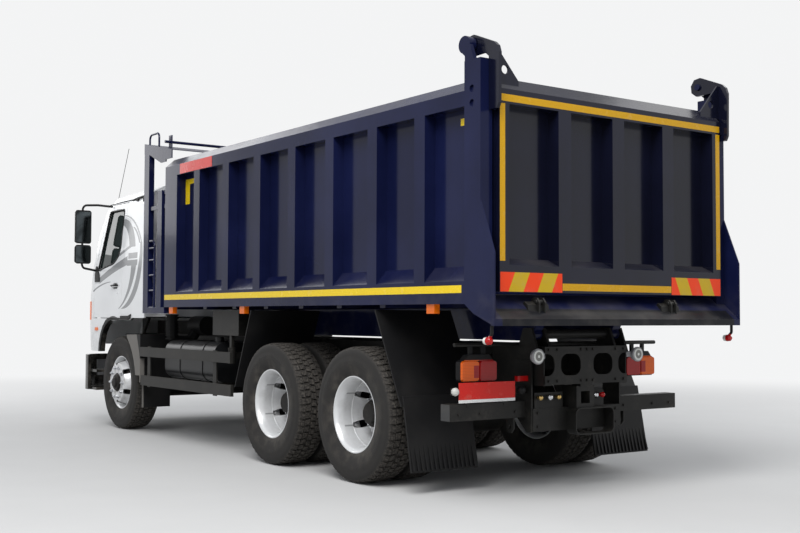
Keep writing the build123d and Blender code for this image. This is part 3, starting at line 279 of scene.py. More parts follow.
# %% White cab paint with its grey bands
BANDS = (
    # three points (y, z) on one edge, three on the other, y from, y to, z from, z to
    ((-4.823, 2.408), (-4.460, 2.275), (-4.270, 2.067), (-4.819, 2.394), (-4.485, 2.266), (-4.301, 2.068),
     -4.83, -4.15, 2.075, 2.50),
    ((-4.273, 2.085), (-4.236, 1.790), (-4.674, 1.355), (-4.324, 2.070), (-4.352, 1.749), (-4.751, 1.364),
     -4.80, -4.15, 1.352, 2.078),
    ((-4.514, 2.252), (-4.388, 2.163), (-4.309, 2.051), (-4.546, 2.248), (-4.424, 2.160), (-4.344, 2.053),
     -4.55, -4.15, 2.07, 2.255),
    ((-4.859, 2.362), (-4.538, 2.217), (-4.451, 2.040), (-4.872, 2.297), (-4.698, 2.199), (-4.625, 2.049),
     -4.87, -4.40, 2.035, 2.40),
    ((-5.445, 1.822), (-5.020, 1.942), (-4.576, 2.064), (-5.414, 1.798), (-4.990, 1.917), (-4.536, 2.040),
     -5.47, -4.535, 1.70, 2.20),
    ((-5.415, 1.734), (-5.037, 1.845), (-4.645, 1.940), (-5.408, 1.662), (-5.073, 1.752), (-4.648, 1.837),
     -5.47, -4.652, 1.60, 2.05),
    ((-4.371, 1.884), (-4.443, 1.689), (-4.847, 1.351), (-4.534, 1.773), (-4.609, 1.567), (-4.876, 1.351),
     -4.88, -4.30, 1.352, 1.83),
    ((-5.638, 1.580), (-5.444, 1.630), (-5.127, 1.662), (-5.628, 1.561), (-5.442, 1.612), (-5.126, 1.655),
     -5.66, -5.12, 1.50, 1.80),
)
BARS = (
    # y from, y to, z from, z to
    (-4.654, -4.366, 1.828, 1.887),
    (-4.630, -4.378, 1.906, 1.966),
)


def round_through(a, b, c):
    """Centre and radius of the circle through three points."""
    (ax, ay), (bx, by), (cx, cy) = a, b, c
    d = 2 * (ax * (by - cy) + bx * (cy - ay) + cx * (ay - by)) or 1e-9
    aa, bb, cc = ax * ax + ay * ay, bx * bx + by * by, cx * cx + cy * cy
    u = (aa * (by - cy) + bb * (cy - ay) + cc * (ay - by)) / d
    v = (aa * (cx - bx) + bb * (ax - cx) + cc * (bx - ax)) / d
    return u, v, ((ax - u) ** 2 + (ay - v) ** 2) ** 0.5


def within(y, z, points):
    """1 inside the circle through three points seen from the side."""
    centre_y, centre_z, radius = round_through(*points)
    return 1 - reach(y - (centre_y + LAST_AXLE), z - centre_z).over(radius - 0.001, radius + 0.001)


def sickle(y, z, row):
    """1 between the two arcs of a row of BANDS."""
    *points, y0, y1, z0, z1 = row
    apart = abs(within(y, z, points[:3]) - within(y, z, points[3:]))
    return apart * between(y, *behind(y0, y1)) * between(z, z0, z1)


ARCH_Y, ARCH_Z, ARCH_RADIUS = -5.02, 0.86, 0.408
BLACK = (0.005, 0.005, 0.005)


def white_paint(name, banded):
    """The cab's white, with the cab's inside painted black as painted shade. The bumper's, which has no
    bands, is black at its ends and behind.
    """
    f = Finish(name)
    point, x, y, z = f.place()
    clouds = f.noise(point, 2.0)
    dust = (1 - z.over(0.85, 1.5)) * f.noise(point, 7.0).over(0.35, 0.75) * 0.2
    base = f.mix(clouds.over(0.3, 0.7), (0.74, 0.745, 0.75), (0.79, 0.795, 0.8))
    if banded:
        marks = 0
        for row in BANDS:
            marks = sickle(y, z, row) + marks
        for y0, y1, z0, z1 in BARS:
            marks = between(y, *behind(y0, y1), 0.004) * between(z, z0, z1, 0.004) + marks
        on_side = abs(x).over(1.1, 1.12)
        base = f.mix(marks.least(1.0) * on_side, base, (0.26, 0.265, 0.27))
        arch = 1 - reach(y - (LAST_AXLE + ARCH_Y), z - ARCH_Z).over(ARCH_RADIUS, ARCH_RADIUS + 0.003)
        under = (1 - abs(x).over(1.178, 1.182)) * (1 - z.over(1.262, 1.266)) * y.over(*behind(-5.9, -5.89))
        # painted shade: the cab's inside walls are made near black
        inside = (1 - abs(x).over(1.03, 1.04)) * between(y, *behind(-5.85, -4.16)) * (1 - z.over(2.5, 2.52))
        base = f.mix((arch + under + inside).least(1.0), base, BLACK)
    else:
        black = (y.over(*behind(-5.955, -5.95)) + f.facing(1).over(0.2, 0.3)).least(1.0)
        base = f.mix(black, base, (0.006, 0.006, 0.006))
    colour = f.mix(dust, base, (0.3, 0.27, 0.23))
    skin = f.bump(f.noise(point, 300.0, 2.0), 0.04, 0.0005)
    return f.surface(colour, roughness=0.2 + dust * 0.8, normal=skin, coat_weight=0.25, coat_roughness=0.05)


WHITE_BANDED = white_paint("white_paint_banded", True)
WHITE = white_paint("white_paint", False)

# %% [markdown]
# Everything under the body is satin black-grey with a coat of dry road dust, thickest where a face
# looks up. The same recipe with other numbers does for cast axles, the tank and the side rails.

# %% Dusty dark paints
def dusty(name, dark, light, rough, dust_amount, bump_scale, bump_strength, metal=0.0):
    """Dark paint or metal under dust that settles on its upper faces and in patches."""
    f = Finish(name)
    point = f.place()[0]
    patches = f.noise(point, 5.0, 4.0)
    grains = f.noise(point, 40.0, 2.0)
    settled = f.facing(2).over(0.2, 0.95) * 0.6 + patches.over(0.45, 0.8) * 0.5
    dust = (settled * grains.over(0.3, 0.7) * dust_amount).least(0.85)
    base = f.mix(patches, dark, light)
    colour = f.mix(dust, base, (0.17, 0.15, 0.125))
    skin = f.bump(f.noise(point, bump_scale, 3.0), bump_strength, 0.001)
    return f.surface(colour, roughness=rough + dust * 0.4, normal=skin, metallic=metal)


CHASSIS = dusty("chassis_paint", (0.007, 0.007, 0.0065), (0.016, 0.0155, 0.0145), 0.45, 0.22, 90.0, 0.2)
CAST = dusty("cast_metal", (0.009, 0.009, 0.009), (0.024, 0.022, 0.02), 0.6, 0.45, 45.0, 0.6, 0.2)
TANK = dusty("tank_paint", (0.008, 0.0085, 0.0095), (0.016, 0.0165, 0.018), 0.3, 0.15, 120.0, 0.1)
GUARD = dusty("guard_paint", (0.014, 0.0135, 0.0125), (0.024, 0.023, 0.021), 0.5, 0.22, 90.0, 0.2)
END_GREY = dusty("bar_end_paint", (0.035, 0.036, 0.037), (0.05, 0.05, 0.05), 0.45, 0.2, 90.0, 0.1)
HOIST_PAINT = dusty("hoist_paint", (0.011, 0.011, 0.012), (0.02, 0.02, 0.021), 0.38, 0.15, 100.0, 0.1)

# %% [markdown]
# ## Rubber, plastic, cloth, steel and glass

# %% Other finishes
def grained(name, colour, rough, cell, strength):
    """Moulded plastic or rubber with a fine pebble grain."""
    f = Finish(name)
    point = f.place()[0]
    patches = f.noise(point, 4.0)
    pebble = f.node("TexVoronoi", {"feature": "SMOOTH_F1"}, {"Vector": point, "Scale": cell})
    tone = f.mix(patches.over(0.4, 0.75) * 0.5, colour, tuple(c * 2.0 + 0.006 for c in colour))
    return f.surface(tone, roughness=rough + patches * 0.15, normal=f.bump(pebble, strength, 0.0006))


def cloth(name, colour):
    """A woven seat cover: two sets of threads that cross."""
    f = Finish(name)
    point = f.place()[0]
    warp = f.node("TexWave", {"bands_direction": "X"}, {"Vector": point, "Scale": 190.0})
    weft = f.node("TexWave", {"bands_direction": "Z"}, {"Vector": point, "Scale": 190.0})
    weave = warp * 0.5 + weft * 0.5
    tone = f.mix(weave, tuple(c * 0.6 for c in colour), tuple(c * 1.3 for c in colour))
    return f.surface(tone, roughness=0.9, normal=f.bump(weave, 0.5, 0.0006), sheen_weight=0.3)


def metal(name, colour, rough, scratch):
    """Bare metal with fine scratches round it."""
    f = Finish(name)
    point = f.place()[0]
    lines = f.noise(f.stretched(point, 1, 1, 30), 40.0, 3.0)
    tone = f.mix(lines, tuple(c * 0.8 for c in colour), colour)
    skin = f.bump(lines, scratch, 0.0004)
    return f.surface(tone, roughness=rough + lines * 0.15, metallic=1.0, normal=skin)


def lens(name, colour, glow):
    """A moulded lamp lens: gloss over fine vertical prisms."""
    f = Finish(name)
    point = f.place()[0]
    prisms = f.node("TexWave", {"bands_direction": "X"}, {"Vector": point, "Scale": 55.0})
    tone = f.mix(prisms, tuple(c * 0.7 for c in colour), colour)
    return f.surface(
        tone, roughness=0.14 + prisms * 0.05, normal=f.bump(prisms, 0.35, 0.0008),
        coat_weight=0.25, coat_roughness=0.04, emission_color=(*colour, 1), emission_strength=glow,
    )


PLASTIC = grained("black_plastic", (0.006, 0.006, 0.0065), 0.48, 700.0, 0.3)
DASH = grained("dash_plastic", (0.045, 0.045, 0.05), 0.6, 900.0, 0.3)
SEAT = cloth("seat_cloth", (0.07, 0.075, 0.09))
STEEL = metal("ground_steel", (0.62, 0.63, 0.65), 0.18, 0.1)
BRASS = metal("brass", (0.6, 0.42, 0.16), 0.25, 0.1)
AMBER = lens("amber_lens", (0.7, 0.13, 0.003), 0.25)
# The red lens finish below serves only a hose coupling, so that coupling glows faintly though it is no lamp:
# a painted glow.
GLOWING_RED = lens("red_lens", (0.4, 0.005, 0.005), 0.08)
CLEAR = lens("clear_lens", (0.62, 0.62, 0.58), 0.0)


def pane():
    """Tinted window glass with faint smears."""
    f = Finish("window_glass")
    point = f.place()[0]
    smear = f.noise(point, 3.0).over(0.45, 0.8)
    return f.surface(
        f.mix(smear, (0.03, 0.045, 0.042), (0.045, 0.062, 0.056)), roughness=0.01 + smear * 0.02,
        transmission_weight=0.55, ior=1.45,
    )


GLASS = pane()

# %% [markdown]
# A lamp is one solid, but its case, its lenses and their colours are several materials on the real one.
# Masks made from the place on the lamp do that: what lies behind the lens's plane is the black case, and
# the side of a dividing line picks amber or red. Nothing has to be cut apart for it.

# %% Lamps of several colours
def lamp_finish(f, point, colour, lensed, case=(0.006, 0.006, 0.0065)):
    """A lamp with its lens where lensed is 1, and its case elsewhere."""
    prisms = f.node("TexWave", {"bands_direction": "X"}, {"Vector": point, "Scale": 48.0})
    rows = f.node("TexWave", {"bands_direction": "Z"}, {"Vector": point, "Scale": 30.0})
    pattern = prisms * 0.5 + rows * 0.5
    deep = f.mix(pattern, f.mix(0.45, colour, (0, 0, 0)), colour)
    seen = f.mix(lensed, case, deep)
    return f.surface(
        seen, roughness=0.5 - lensed * 0.36, normal=f.bump(pattern * lensed, 0.4, 0.0008),
        coat_weight=lensed * 0.25, coat_roughness=0.04,
        emission_color=f.mix(lensed, (0, 0, 0), deep), emission_strength=0.18,
    )


def tail_lamp():
    """Amber outside, red inside, with a red reflector set into the amber."""
    f = Finish("tail_lamp")
    point, x, y, z = f.place()
    lensed = y.over(*behind(1.0355, 1.037)) * (1 - z.over(0.967, 0.969))
    inset = between(abs(x), 0.838, 0.886) * between(z, 0.842, 0.928)
    amber = abs(x).over(0.832, 0.834) * (1 - inset)
    return lamp_finish(f, point, f.mix(amber, (0.3, 0.004, 0.004), (0.68, 0.105, 0.002)), lensed)


def clear_lamp():
    """Round lamps at the rear, and head lamps whose two reflectors lie behind one clear cover."""
    f = Finish("clear_lamp")
    point, x, y, z = f.place()
    radius = reach(abs(x) - 0.512, z - 0.995)
    rear_lens = y.over(*behind(1.3, 1.301)) * (1 - radius.over(0.046, 0.048))
    bowls = 0
    for centre in (0.757, 0.887):
        bowls = (1 - reach(abs(x) - centre, z - 0.645).over(0.054, 0.06)) + bowls
    front = 1 - y.over(-4.0, -3.9)
    ring = between(radius, 0.034, 0.045, 0.003)
    middle = f.mix(radius.over(0.008, 0.012), (0.75, 0.76, 0.72), (0.2, 0.2, 0.185))
    round_glass = f.mix(ring, middle, (0.7, 0.71, 0.68))
    colour = f.mix(front, round_glass, f.mix(bowls.least(1.0), (0.2, 0.205, 0.21), (0.8, 0.81, 0.83)))
    return lamp_finish(f, point, colour, (rear_lens + front).least(1.0), (0.3, 0.3, 0.31))


def side_lamp():
    """Amber markers, and the lamps on rubber stalks: white to the front, red to the rear."""
    f = Finish("side_lamp")
    point, x, y, z = f.place()
    ball = y.over(*behind(1.5, 1.51))
    red = y.over(*behind(1.598, 1.602))
    on_ball = f.mix(red, (0.7, 0.7, 0.67), (0.42, 0.005, 0.005))
    lensed = 1 - ball * z.over(1.147, 1.15)
    return lamp_finish(f, point, f.mix(ball, (0.7, 0.13, 0.003), on_ball), lensed)


TAIL_LAMP, CLEAR_LAMP, SIDE_LAMP = tail_lamp(), clear_lamp(), side_lamp()


def guard_plastic():
    """Black mudguards, whose front ones carry a grey side plate."""
    f = Finish("guard_plastic")
    point, x, y, z = f.place()
    patches = f.noise(point, 4.0)
    pebble = f.node("TexVoronoi", {"feature": "SMOOTH_F1"}, {"Vector": point, "Scale": 500.0})
    lean = (1.083 - z) * 0.39 + LAST_AXLE
    between_edges = y.over(lean - 4.578, lean - 4.574) * (1 - y.over(lean - 4.30, lean - 4.29))
    plate = between_edges * abs(x).over(1.16, 1.17)
    dark = f.mix(patches.over(0.4, 0.75) * 0.5, (0.006, 0.006, 0.0065), (0.016, 0.015, 0.0145))
    grey = f.mix(patches, (0.13, 0.122, 0.113), (0.17, 0.16, 0.148))
    skin = f.bump(pebble, 0.25, 0.0006)
    return f.surface(f.mix(plate, dark, grey), roughness=0.5 + patches * 0.15, normal=skin)


MUDGUARD = guard_plastic()

# %% [markdown]
# ## Give each solid its finish

# %% Assign
FINISHES = {
    NAVY: "body_floor body_sills body_side_left body_side_right body_front hoist_bracket front_canopy",
    SHADED_GATE_NAVY: "tailgate",
    WHITE_BANDED: "cab_shell door_left door_right",
    WHITE: "bumper",
    CHASSIS: "frame oil_tank air_tanks underrun_bar knuckle_left knuckle_right",
    CAST: "engine driveline front_axle rear_axles leaf_springs tie_rod",
    TANK: "fuel_tank silencer",
    GUARD: "side_guards",
    HOIST_PAINT: "hoist_tube",
    STEEL: "hoist_stage_1 hoist_stage_2 hoist_stage_3 hoist_stage_4",
    PLASTIC: "battery_box grille mirrors_left mirrors_right air_duct arch_lips",
    MUDGUARD: "mudguards",
    SEAT: "seats",
    DASH: "dashboard",
    GLASS: "cab_glass door_glass_left door_glass_right",
    TAIL_LAMP: "lamps",
    CLEAR_LAMP: "clear_lamps",
    SIDE_LAMP: "side_lamps",
    AMBER: "cab_lamps",
}
for finish, names in FINISHES.items():
    for name in names.split():
        node = frame["nodes"][name]
        node.data.materials.clear()
        node.data.materials.append(finish)
print("finished", sum(len(names.split()) for names in FINISHES.values()), "solids")

# %% [markdown]
# ## Small shapes
#
# The added pieces are plates, bars and turned forms. One class gathers points in millimetres and the
# faces between them, and turns them into one mesh that rides on a body of the frame.

# %% Shape builder
class Shape:
    """Points in millimetres and faces, gathered before they become one piece."""

    SHARP = 0.6  # radians, from which an edge is rounded

    def __init__(self):
        self.points, self.faces = [], []

    def add(self, points, faces):
        start = len(self.points)
        self.points += [Vector(p) for p in points]
        self.faces += [[start + i for i in face] for face in faces]
        return self

    def plate(self, outline, axis, low, high):
        """An outline in the other two axes' order, thick from low to high along axis."""
        def spot(pair, depth):
            values = list(pair)
            values.insert(axis, depth)
            return values

        n = len(outline)
        points = [spot(p, low) for p in outline] + [spot(p, high) for p in outline]
        sides = [(i, (i + 1) % n, n + (i + 1) % n, n + i) for i in range(n)]
        return self.add(points, [tuple(range(n))[::-1], tuple(range(n, 2 * n))] + sides)

    def block(self, x, y, z):
        """A box from its limits along each axis."""
        return self.plate(((x[0], y[0]), (x[1], y[0]), (x[1], y[1]), (x[0], y[1])), 2, *z)

    def skin(self, rings):
        """Joins rings that have equal numbers of points, and closes both ends."""
        n, last = len(rings[0]), (len(rings) - 1) * len(rings[0])
        faces = []
        for a in range(0, last, n):
            faces += [(a + i, a + (i + 1) % n, a + n + (i + 1) % n, a + n + i) for i in range(n)]
        faces += [tuple(range(n))[::-1], tuple(range(last, last + n))]
        return self.add([p for ring in rings for p in ring], faces)

    def turned(self, profile, centre, sides=32, axis="x"):
        """A profile of (along, radius) about an axis through centre."""
        rings = []
        for along, radius in profile:
            ring = []
            for i in range(sides):
                a = 2 * pi * i / sides
                u, v = radius * cos(a), radius * sin(a)
                step = {"x": (along, u, v), "y": (v, along, u), "z": (u, v, along)}[axis]
                ring.append(Vector(centre) + Vector(step))
            rings.append(ring)
        return self.skin(rings)

    def tube(self, path, radius, sides=10):
        """A round bar along a path."""
        path = [Vector(p) for p in path]
        rings, side = [], None
        for i, p in enumerate(path):
            ahead = (path[min(i + 1, len(path) - 1)] - path[max(i - 1, 0)]).normalized()
            if side is None:
                side = ahead.orthogonal().normalized()
            side = (side - ahead * side.dot(ahead)).normalized()
            up = ahead.cross(side)
            rings.append([p + radius * (cos(t) * side + sin(t) * up)
                          for t in (2 * pi * k / sides for k in range(sides))])
        return self.skin(rings)

    def mesh(self, name, finish):
        """The shape as a mesh about its own origin, for a piece that is placed later."""
        return smooth_mesh(name, [p / 1000 for p in self.points], self.faces, finish, 30)

    def piece(self, name, body, finish, slot, bevel=0.0, smooth=False):
        """Makes the piece, with its edges rounded by bevel millimetres, and gives it its body. The slot is
        not used.
        """
        mesh = plain_mesh(name, [at(*p) for p in self.points], self.faces)
        mesh.validate()
        mesh.materials.append(finish)
        piece = linked(name, mesh)
        if smooth:
            mesh.shade_smooth()
        if bevel:
            edge = piece.modifiers.new("edge", "BEVEL")
            edge.width, edge.segments = bevel / 1000, 2
            edge.limit_method, edge.angle_limit = "ANGLE", self.SHARP
            edge.harden_normals = True
        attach(piece, body)
        print("piece", name, "on", body, len(mesh.polygons), "faces")
        return piece


def rounded(corners, radius, steps=5):
    """The path through corners, each turned into an arc-like curve."""
    corners = [Vector(c) for c in corners]
    path = [corners[0]]
    for before, corner, after in zip(corners, corners[1:], corners[2:]):
        a = corner + (before - corner).normalized() * min(radius, (before - corner).length * 0.48)
        b = corner + (after - corner).normalized() * min(radius, (after - corner).length * 0.48)
        for k in range(steps + 1):
            t = k / steps
            path.append((1 - t) ** 2 * a + 2 * t * (1 - t) * corner + t ** 2 * b)
    return path + [corners[-1]]


def spun(profile, sides=96):
    """Points and faces of a closed profile of (along, radius), turned about the x axis."""
    points, faces = [], []
    rays = [(cos(2 * pi * i / sides), sin(2 * pi * i / sides)) for i in range(sides)]
    for k, (along, radius) in enumerate(profile):
        points += [(along, radius * c, radius * s) for c, s in rays]
        a, b = k * sides, (k + 1) % len(profile) * sides
        faces += [(a + i, a + (i + 1) % sides, b + (i + 1) % sides, b + i) for i in range(sides)]
    return points, faces


def smooth_mesh(name, points, faces, finish, sharp):
    """A mesh in metres, shaded smooth but for the edges that turn by more than sharp degrees."""
    mesh = plain_mesh(name, points, faces)
    mesh.validate()
    mesh.shade_smooth()
    mesh.set_sharp_from_angle(angle=radians(sharp))
    mesh.materials.append(finish)
    print("mesh", name, len(mesh.polygons), "faces")
    return mesh


# %% [markdown]
# ## Tyres
#
# Each real tyre is round, with a bowed side wall, a few raised rings and a tread of separate lugs.
# The solid is a plain form of flats, so a fine mesh takes its place. One mesh is made and shared by
# all ten tyres: a turned carcass whose crown lies at the groove's depth, and lugs that stand on it.

# %% Tyre mesh
TYRE_RADIUS, GROOVE, BEAD = 0.5215, 0.0125, 0.2835
PITCHES = 54
SHOULDER, CROWN_DROP = 0.084, 0.011
CARCASS = (
    # across, radius
    (0.103, BEAD), (0.112, 0.292), (0.122, 0.304), (0.135, 0.338), (0.1435, 0.375), (0.1475, 0.405),
    (0.1465, 0.432), (0.142, 0.452), (0.1425, 0.456), (0.1395, 0.475), (0.136, 0.495), (0.128, 0.505),
    (0.115, TYRE_RADIUS - GROOVE),
)
LUG_ROWS = (
    # low edge, high edge across the tread, start of the pitch, share of the pitch, lean
    (-0.128, -0.084, 0.0, 0.72, 0.1),
    (-0.076, -0.030, 0.35, 0.78, -0.12),
    (-0.022, 0.022, 0.1, 0.8, 0.14),
    (0.030, 0.076, 0.6, 0.78, -0.12),
    (0.084, 0.128, 0.25, 0.72, 0.1),
)


def tread_lug(low, high, start, span, lean):
    """One lug as a block with sloping sides, bent to the tyre's round."""
    points = []
    for shrink, radius in ((0.0, TYRE_RADIUS - GROOVE - 0.001), (0.0022, TYRE_RADIUS)):
        for across, angle in ((low + shrink, start), (high - shrink, start), (high - shrink, start + span),
                              (low + shrink, start + span)):
            inner = shrink / TYRE_RADIUS
            turned = angle + (inner if angle == start else -inner) + lean * across / TYRE_RADIUS
            drop = CROWN_DROP * max(0.0, (abs(across) - SHOULDER) / 0.044) ** 1.5
            points.append((across, (radius - drop) * cos(turned), (radius - drop) * sin(turned)))
    faces = [(3, 2, 1, 0), (4, 5, 6, 7), (0, 1, 5, 4), (1, 2, 6, 5), (2, 3, 7, 6), (3, 0, 4, 7)]
    return points, faces


def tyre_mesh(finish):
    """The carcass and its lugs as one mesh."""
    points, faces = spun([*CARCASS, *((-across, radius) for across, radius in reversed(CARCASS))])
    pitch = 2 * pi / PITCHES
    for low, high, start, share, lean in LUG_ROWS:
        for i in range(PITCHES):
            lug_points, lug_faces = tread_lug(low, high, (i + start) * pitch, share * pitch, lean)
            faces += [[len(points) + k for k in face] for face in lug_faces]
            points += lug_points
    return smooth_mesh("tyre", points, faces, finish, 32)


# %% [markdown]
# Tyre rubber is never black for long: the tread takes the colour of the road, and the side wall keeps
# a thin haze. The finish measures the distance from the wheel's own axis, so it needs the mesh's own
# centre, and each tyre is an object placed at its wheel. Fine rings go in the bump.

# %% Tyre rubber
def tyre_rubber():
    """Rubber with a dusty tread, a hazy wall and fine rings."""
    f = Finish("tyre_rubber")
    point, x, y, z = f.place()
    radius = reach(y, z)
    haze = f.noise(point, 9.0, 4.0)
    grit = f.noise(point, 70.0, 3.0)
    wear = radius.over(0.485, 0.522) * grit.over(0.3, 0.75)
    wall = (1 - radius.over(0.3, 0.5)) * haze.over(0.4, 0.75) * 0.35
    colour = f.mix((wear * 0.55 + wall + 0.08).least(0.8), (0.013, 0.013, 0.0135), (0.13, 0.115, 0.098))
    ribbed = radius.over(0.385, 0.39) - radius.over(0.418, 0.423)
    rings = (radius * 260.0).modulo(1.0).over(0.2, 0.5) * ribbed
    skin = f.bump(rings * 0.6 + grit * 0.25, 0.45, 0.0015)
    return f.surface(colour, roughness=0.6 + haze * 0.25, normal=skin)


TYRE = tyre_mesh(tyre_rubber())

# %% [markdown]
# ## Rims
#
# A lorry's rim is a deep rolled ring and a dished disc with six round hand holes and ten nuts. The
# front wheel shows the disc's outside, the outer rear wheel its hollow side, because the same wheel is
# turned round there. The holes are cut with a Boolean, which is then applied, so the mesh is plain.

# %% Rim mesh
RIM_RING = (
    # along the axis from the rim's centre, radius
    (-0.1165, 0.288), (-0.1165, 0.2955), (-0.112, 0.2975), (-0.106, 0.293), (-0.1055, 0.2815),
    (-0.07, 0.2755), (-0.055, 0.2645), (0.04, 0.2645), (0.06, 0.2755), (0.1055, 0.2815), (0.106, 0.293),
    (0.112, 0.2975), (0.1165, 0.2955), (0.1165, 0.288), (0.1035, 0.2745), (0.085, 0.2665), (0.058, 0.2605),
    (0.045, 0.2565), (-0.06, 0.2565), (-0.075, 0.2665), (-0.1, 0.2735),
)
DISC = (
    # the dished disc, outer skin and back again
    (-0.165, 0.105), (-0.165, 0.208), (-0.1625, 0.2165), (-0.155, 0.2215), (-0.09, 0.2405), (-0.052, 0.2545),
    (-0.03, 0.2575), (-0.03, 0.2495), (-0.05, 0.2465), (-0.09, 0.2315), (-0.148, 0.212), (-0.154, 0.205),
    (-0.154, 0.105),
)
NUTS, NUT_PITCH = 10, 167.5
HAND_HOLES, HOLE_PITCH, HOLE_RADIUS, HOLE_TURN = 6, 0.2255, 0.0305, radians(25)
TURNS = [2 * pi * i / HAND_HOLES + HOLE_TURN for i in range(HAND_HOLES)]
HOLES = [(HOLE_PITCH * cos(a), HOLE_PITCH * sin(a)) for a in TURNS]


def rim_mesh(finish):
    """The ring and its disc as one mesh, open end towards +x."""
    drills = Shape()
    for y, z in HOLES:
        drills.turned(((-0.2, HOLE_RADIUS), (0.0, HOLE_RADIUS)), (0, y, z), 24)
    disc = linked("disc", plain_mesh("disc", *spun(DISC)))
    cutter = linked("drills", plain_mesh("drills", drills.points, drills.faces))
    cut = disc.modifiers.new("holes", "BOOLEAN")
    cut.object, cut.solver = cutter, "EXACT"
    ready = bpy.data.meshes.new_from_object(disc.evaluated_get(bpy.context.evaluated_depsgraph_get()))
    points, faces = [v.co.copy() for v in ready.vertices], [tuple(p.vertices) for p in ready.polygons]
    ring_points, ring_faces = spun(RIM_RING)
    faces += [[len(points) + i for i in face] for face in ring_faces]
    for thing in (disc, cutter):
        bpy.data.objects.remove(thing)
    return smooth_mesh("rim", points + ring_points, faces, finish, 28)


def nut_mesh(name, along, length):
    """A ring of washers, nuts and stud ends, along millimetres out from the wheel's face."""
    shape = Shape()
    for i in range(NUTS):
        a = 2 * pi * i / NUTS
        centre = (0, NUT_PITCH * cos(a), NUT_PITCH * sin(a))
        shape.turned(((along - 2, 23), (along + 3, 23), (along + 4, 21)), centre, 20)
        shape.turned(((along + 3, 16.5), (along + 20, 16.5), (along + 22, 14)), centre, 6)
        shape.turned(((along + 20, 10), (along + length, 10)), centre, 12)
    return shape.mesh(name, STEEL)


# %% [markdown]
# The rims are painted a pale silver. Dirt gathers on the disc and in the well. Again the finish works
# from the distance to the wheel's axis.

# %% Rim paint
def rim_paint():
    """Silver with dirt, and painted shade inside the hand holes."""
    f = Finish("rim_paint")
    point, x, y, z = f.place()
    radius = reach(y, z)
    patches = f.noise(point, 14.0, 4.0)
    well = (1 - radius.over(0.2, 0.25)) + (1 - radius.over(0.262, 0.275)) * 0.35
    dirt = (patches.over(0.35, 0.75) * well * 0.35 + patches.over(0.55, 0.8) * 0.12).least(0.7)
    # painted shade: the walls of the hand holes are made near black
    through = 0
    for hole_y, hole_z in HOLES:
        away = reach(y - hole_y, z - hole_z)
        through = (1 - away.over(HOLE_RADIUS - 0.001, HOLE_RADIUS + 0.002)) + through
    colour = f.mix(dirt, (0.66, 0.665, 0.67), (0.14, 0.115, 0.09))
    colour = f.mix(through.least(1.0), colour, (0.01, 0.01, 0.01))
    return f.surface(colour, roughness=0.3 + dirt * 0.4, metallic=0.35, normal=f.bump(patches, 0.05, 0.001))


RIM = rim_mesh(rim_paint())
FRONT_HUB = (
    # along, radius
    (-230, 200), (-60, 200), (-55, 150), (-2, 140), (-2, 92), (18, 90), (24, 84), (26, 60), (38, 58),
    (46, 48),
)
REAR_HUB = (
    (-285, 200), (-60, 200), (-55, 150), (10, 140), (10, 114), (60, 112), (108, 106), (112, 86), (140, 84),
    (151, 72),
)
HUBS = {
    # axle: outline, where the nuts stand, how far their studs reach
    "front": (FRONT_HUB, 0, 30),
    "rear": (REAR_HUB, 12, 50),
}
hubs, nuts = {}, {}
for word, (outline, along, length) in HUBS.items():
    hubs[word] = Shape().turned(outline, (0, 0, 0), 40).mesh(f"hub_{word}", CAST)
    nuts[word] = nut_mesh(f"nuts_{word}", along, length)

# %% [markdown]
# Now each wheel: its tyres, rims and hub are placed from its own joint, ride on its body and replace
# the plain solids.

# %% Place the wheels
OFFSET = 0.165  # from the mounting face to the middle of a rim
MOUNT = {"front": 1.169, "middle": 0.932, "rear": 0.932}


def wheel_piece(name, mesh, body, x, y, flip):
    """A mesh placed at its wheel, turned round where flip says so."""
    piece = linked(name, mesh)
    spin = Matrix.Rotation(pi, 4, "Z") if flip else Matrix.Identity(4)
    piece.matrix_world = Matrix.Translation((x, y, WHEEL_Z)) @ spin
    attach(piece, body)
    return piece


for axle, mount in MOUNT.items():
    for side, word in BOTH:
        body = f"wheel_{axle}_{word}"
        y = JOINTS[body + "_spin"]["pos_m"][1]
        stations = (-OFFSET,) if axle == "front" else (-OFFSET, OFFSET)
        for k, along in enumerate(stations):
            x = side * (mount + along)
            turned_round = (side > 0) != (along > 0)
            tyre = wheel_piece(f"tyre_{axle}_{word}_{k}", TYRE, body, x, y, side < 0)
            rim = wheel_piece(f"rim_{axle}_{word}_{k}", RIM, body, x, y, turned_round)
            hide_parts(f"tyres_{axle}_{word}")
            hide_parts(f"rims_{axle}_{word}")
        kind = "front" if axle == "front" else "rear"
        wheel_piece(f"hub_{axle}_{word}", hubs[kind], body, side * mount, y, side < 0)
        wheel_piece(f"nuts_{axle}_{word}", nuts[kind], body, side * mount, y, side < 0)
print("wheels placed:", 2 * len(MOUNT))

# %% [markdown]
# ## Tapes and plates on the body
#
# Reflecting tape is a thin glossy film with a honeycomb inside. Each strip is a plate of about half a
# millimetre that stands on the steel.

# %% Tape finishes
def tape(name, colour):
    """A film of small cells, worn in places."""
    f = Finish(name)
    point = f.place()[0]
    cells = f.node("TexVoronoi", {"feature": "DISTANCE_TO_EDGE"}, {"Vector": point, "Scale": 320.0})
    wear = f.noise(point, 12.0, 4.0).over(0.55, 0.8)
    tone = f.mix(cells.over(0.01, 0.08), tuple(c * 0.7 for c in colour), colour)
    worn = f.mix(wear * 0.25, tone, (0.3, 0.27, 0.2))
    return f.surface(worn, roughness=0.25 + wear * 0.3, coat_weight=0.15)


YELLOW = tape("yellow_tape", (0.8, 0.56, 0.008))
# The tailgate's tape is a darker copy of the side tape: painted shade on the rear face.
SHADED_GATE_YELLOW = tape("gate_tape", (0.58, 0.31, 0.002))
RED_PLATE = tape("red_plate", (0.6, 0.012, 0.006))
WHITE_FILM = tape("white_film", (0.75, 0.75, 0.74))


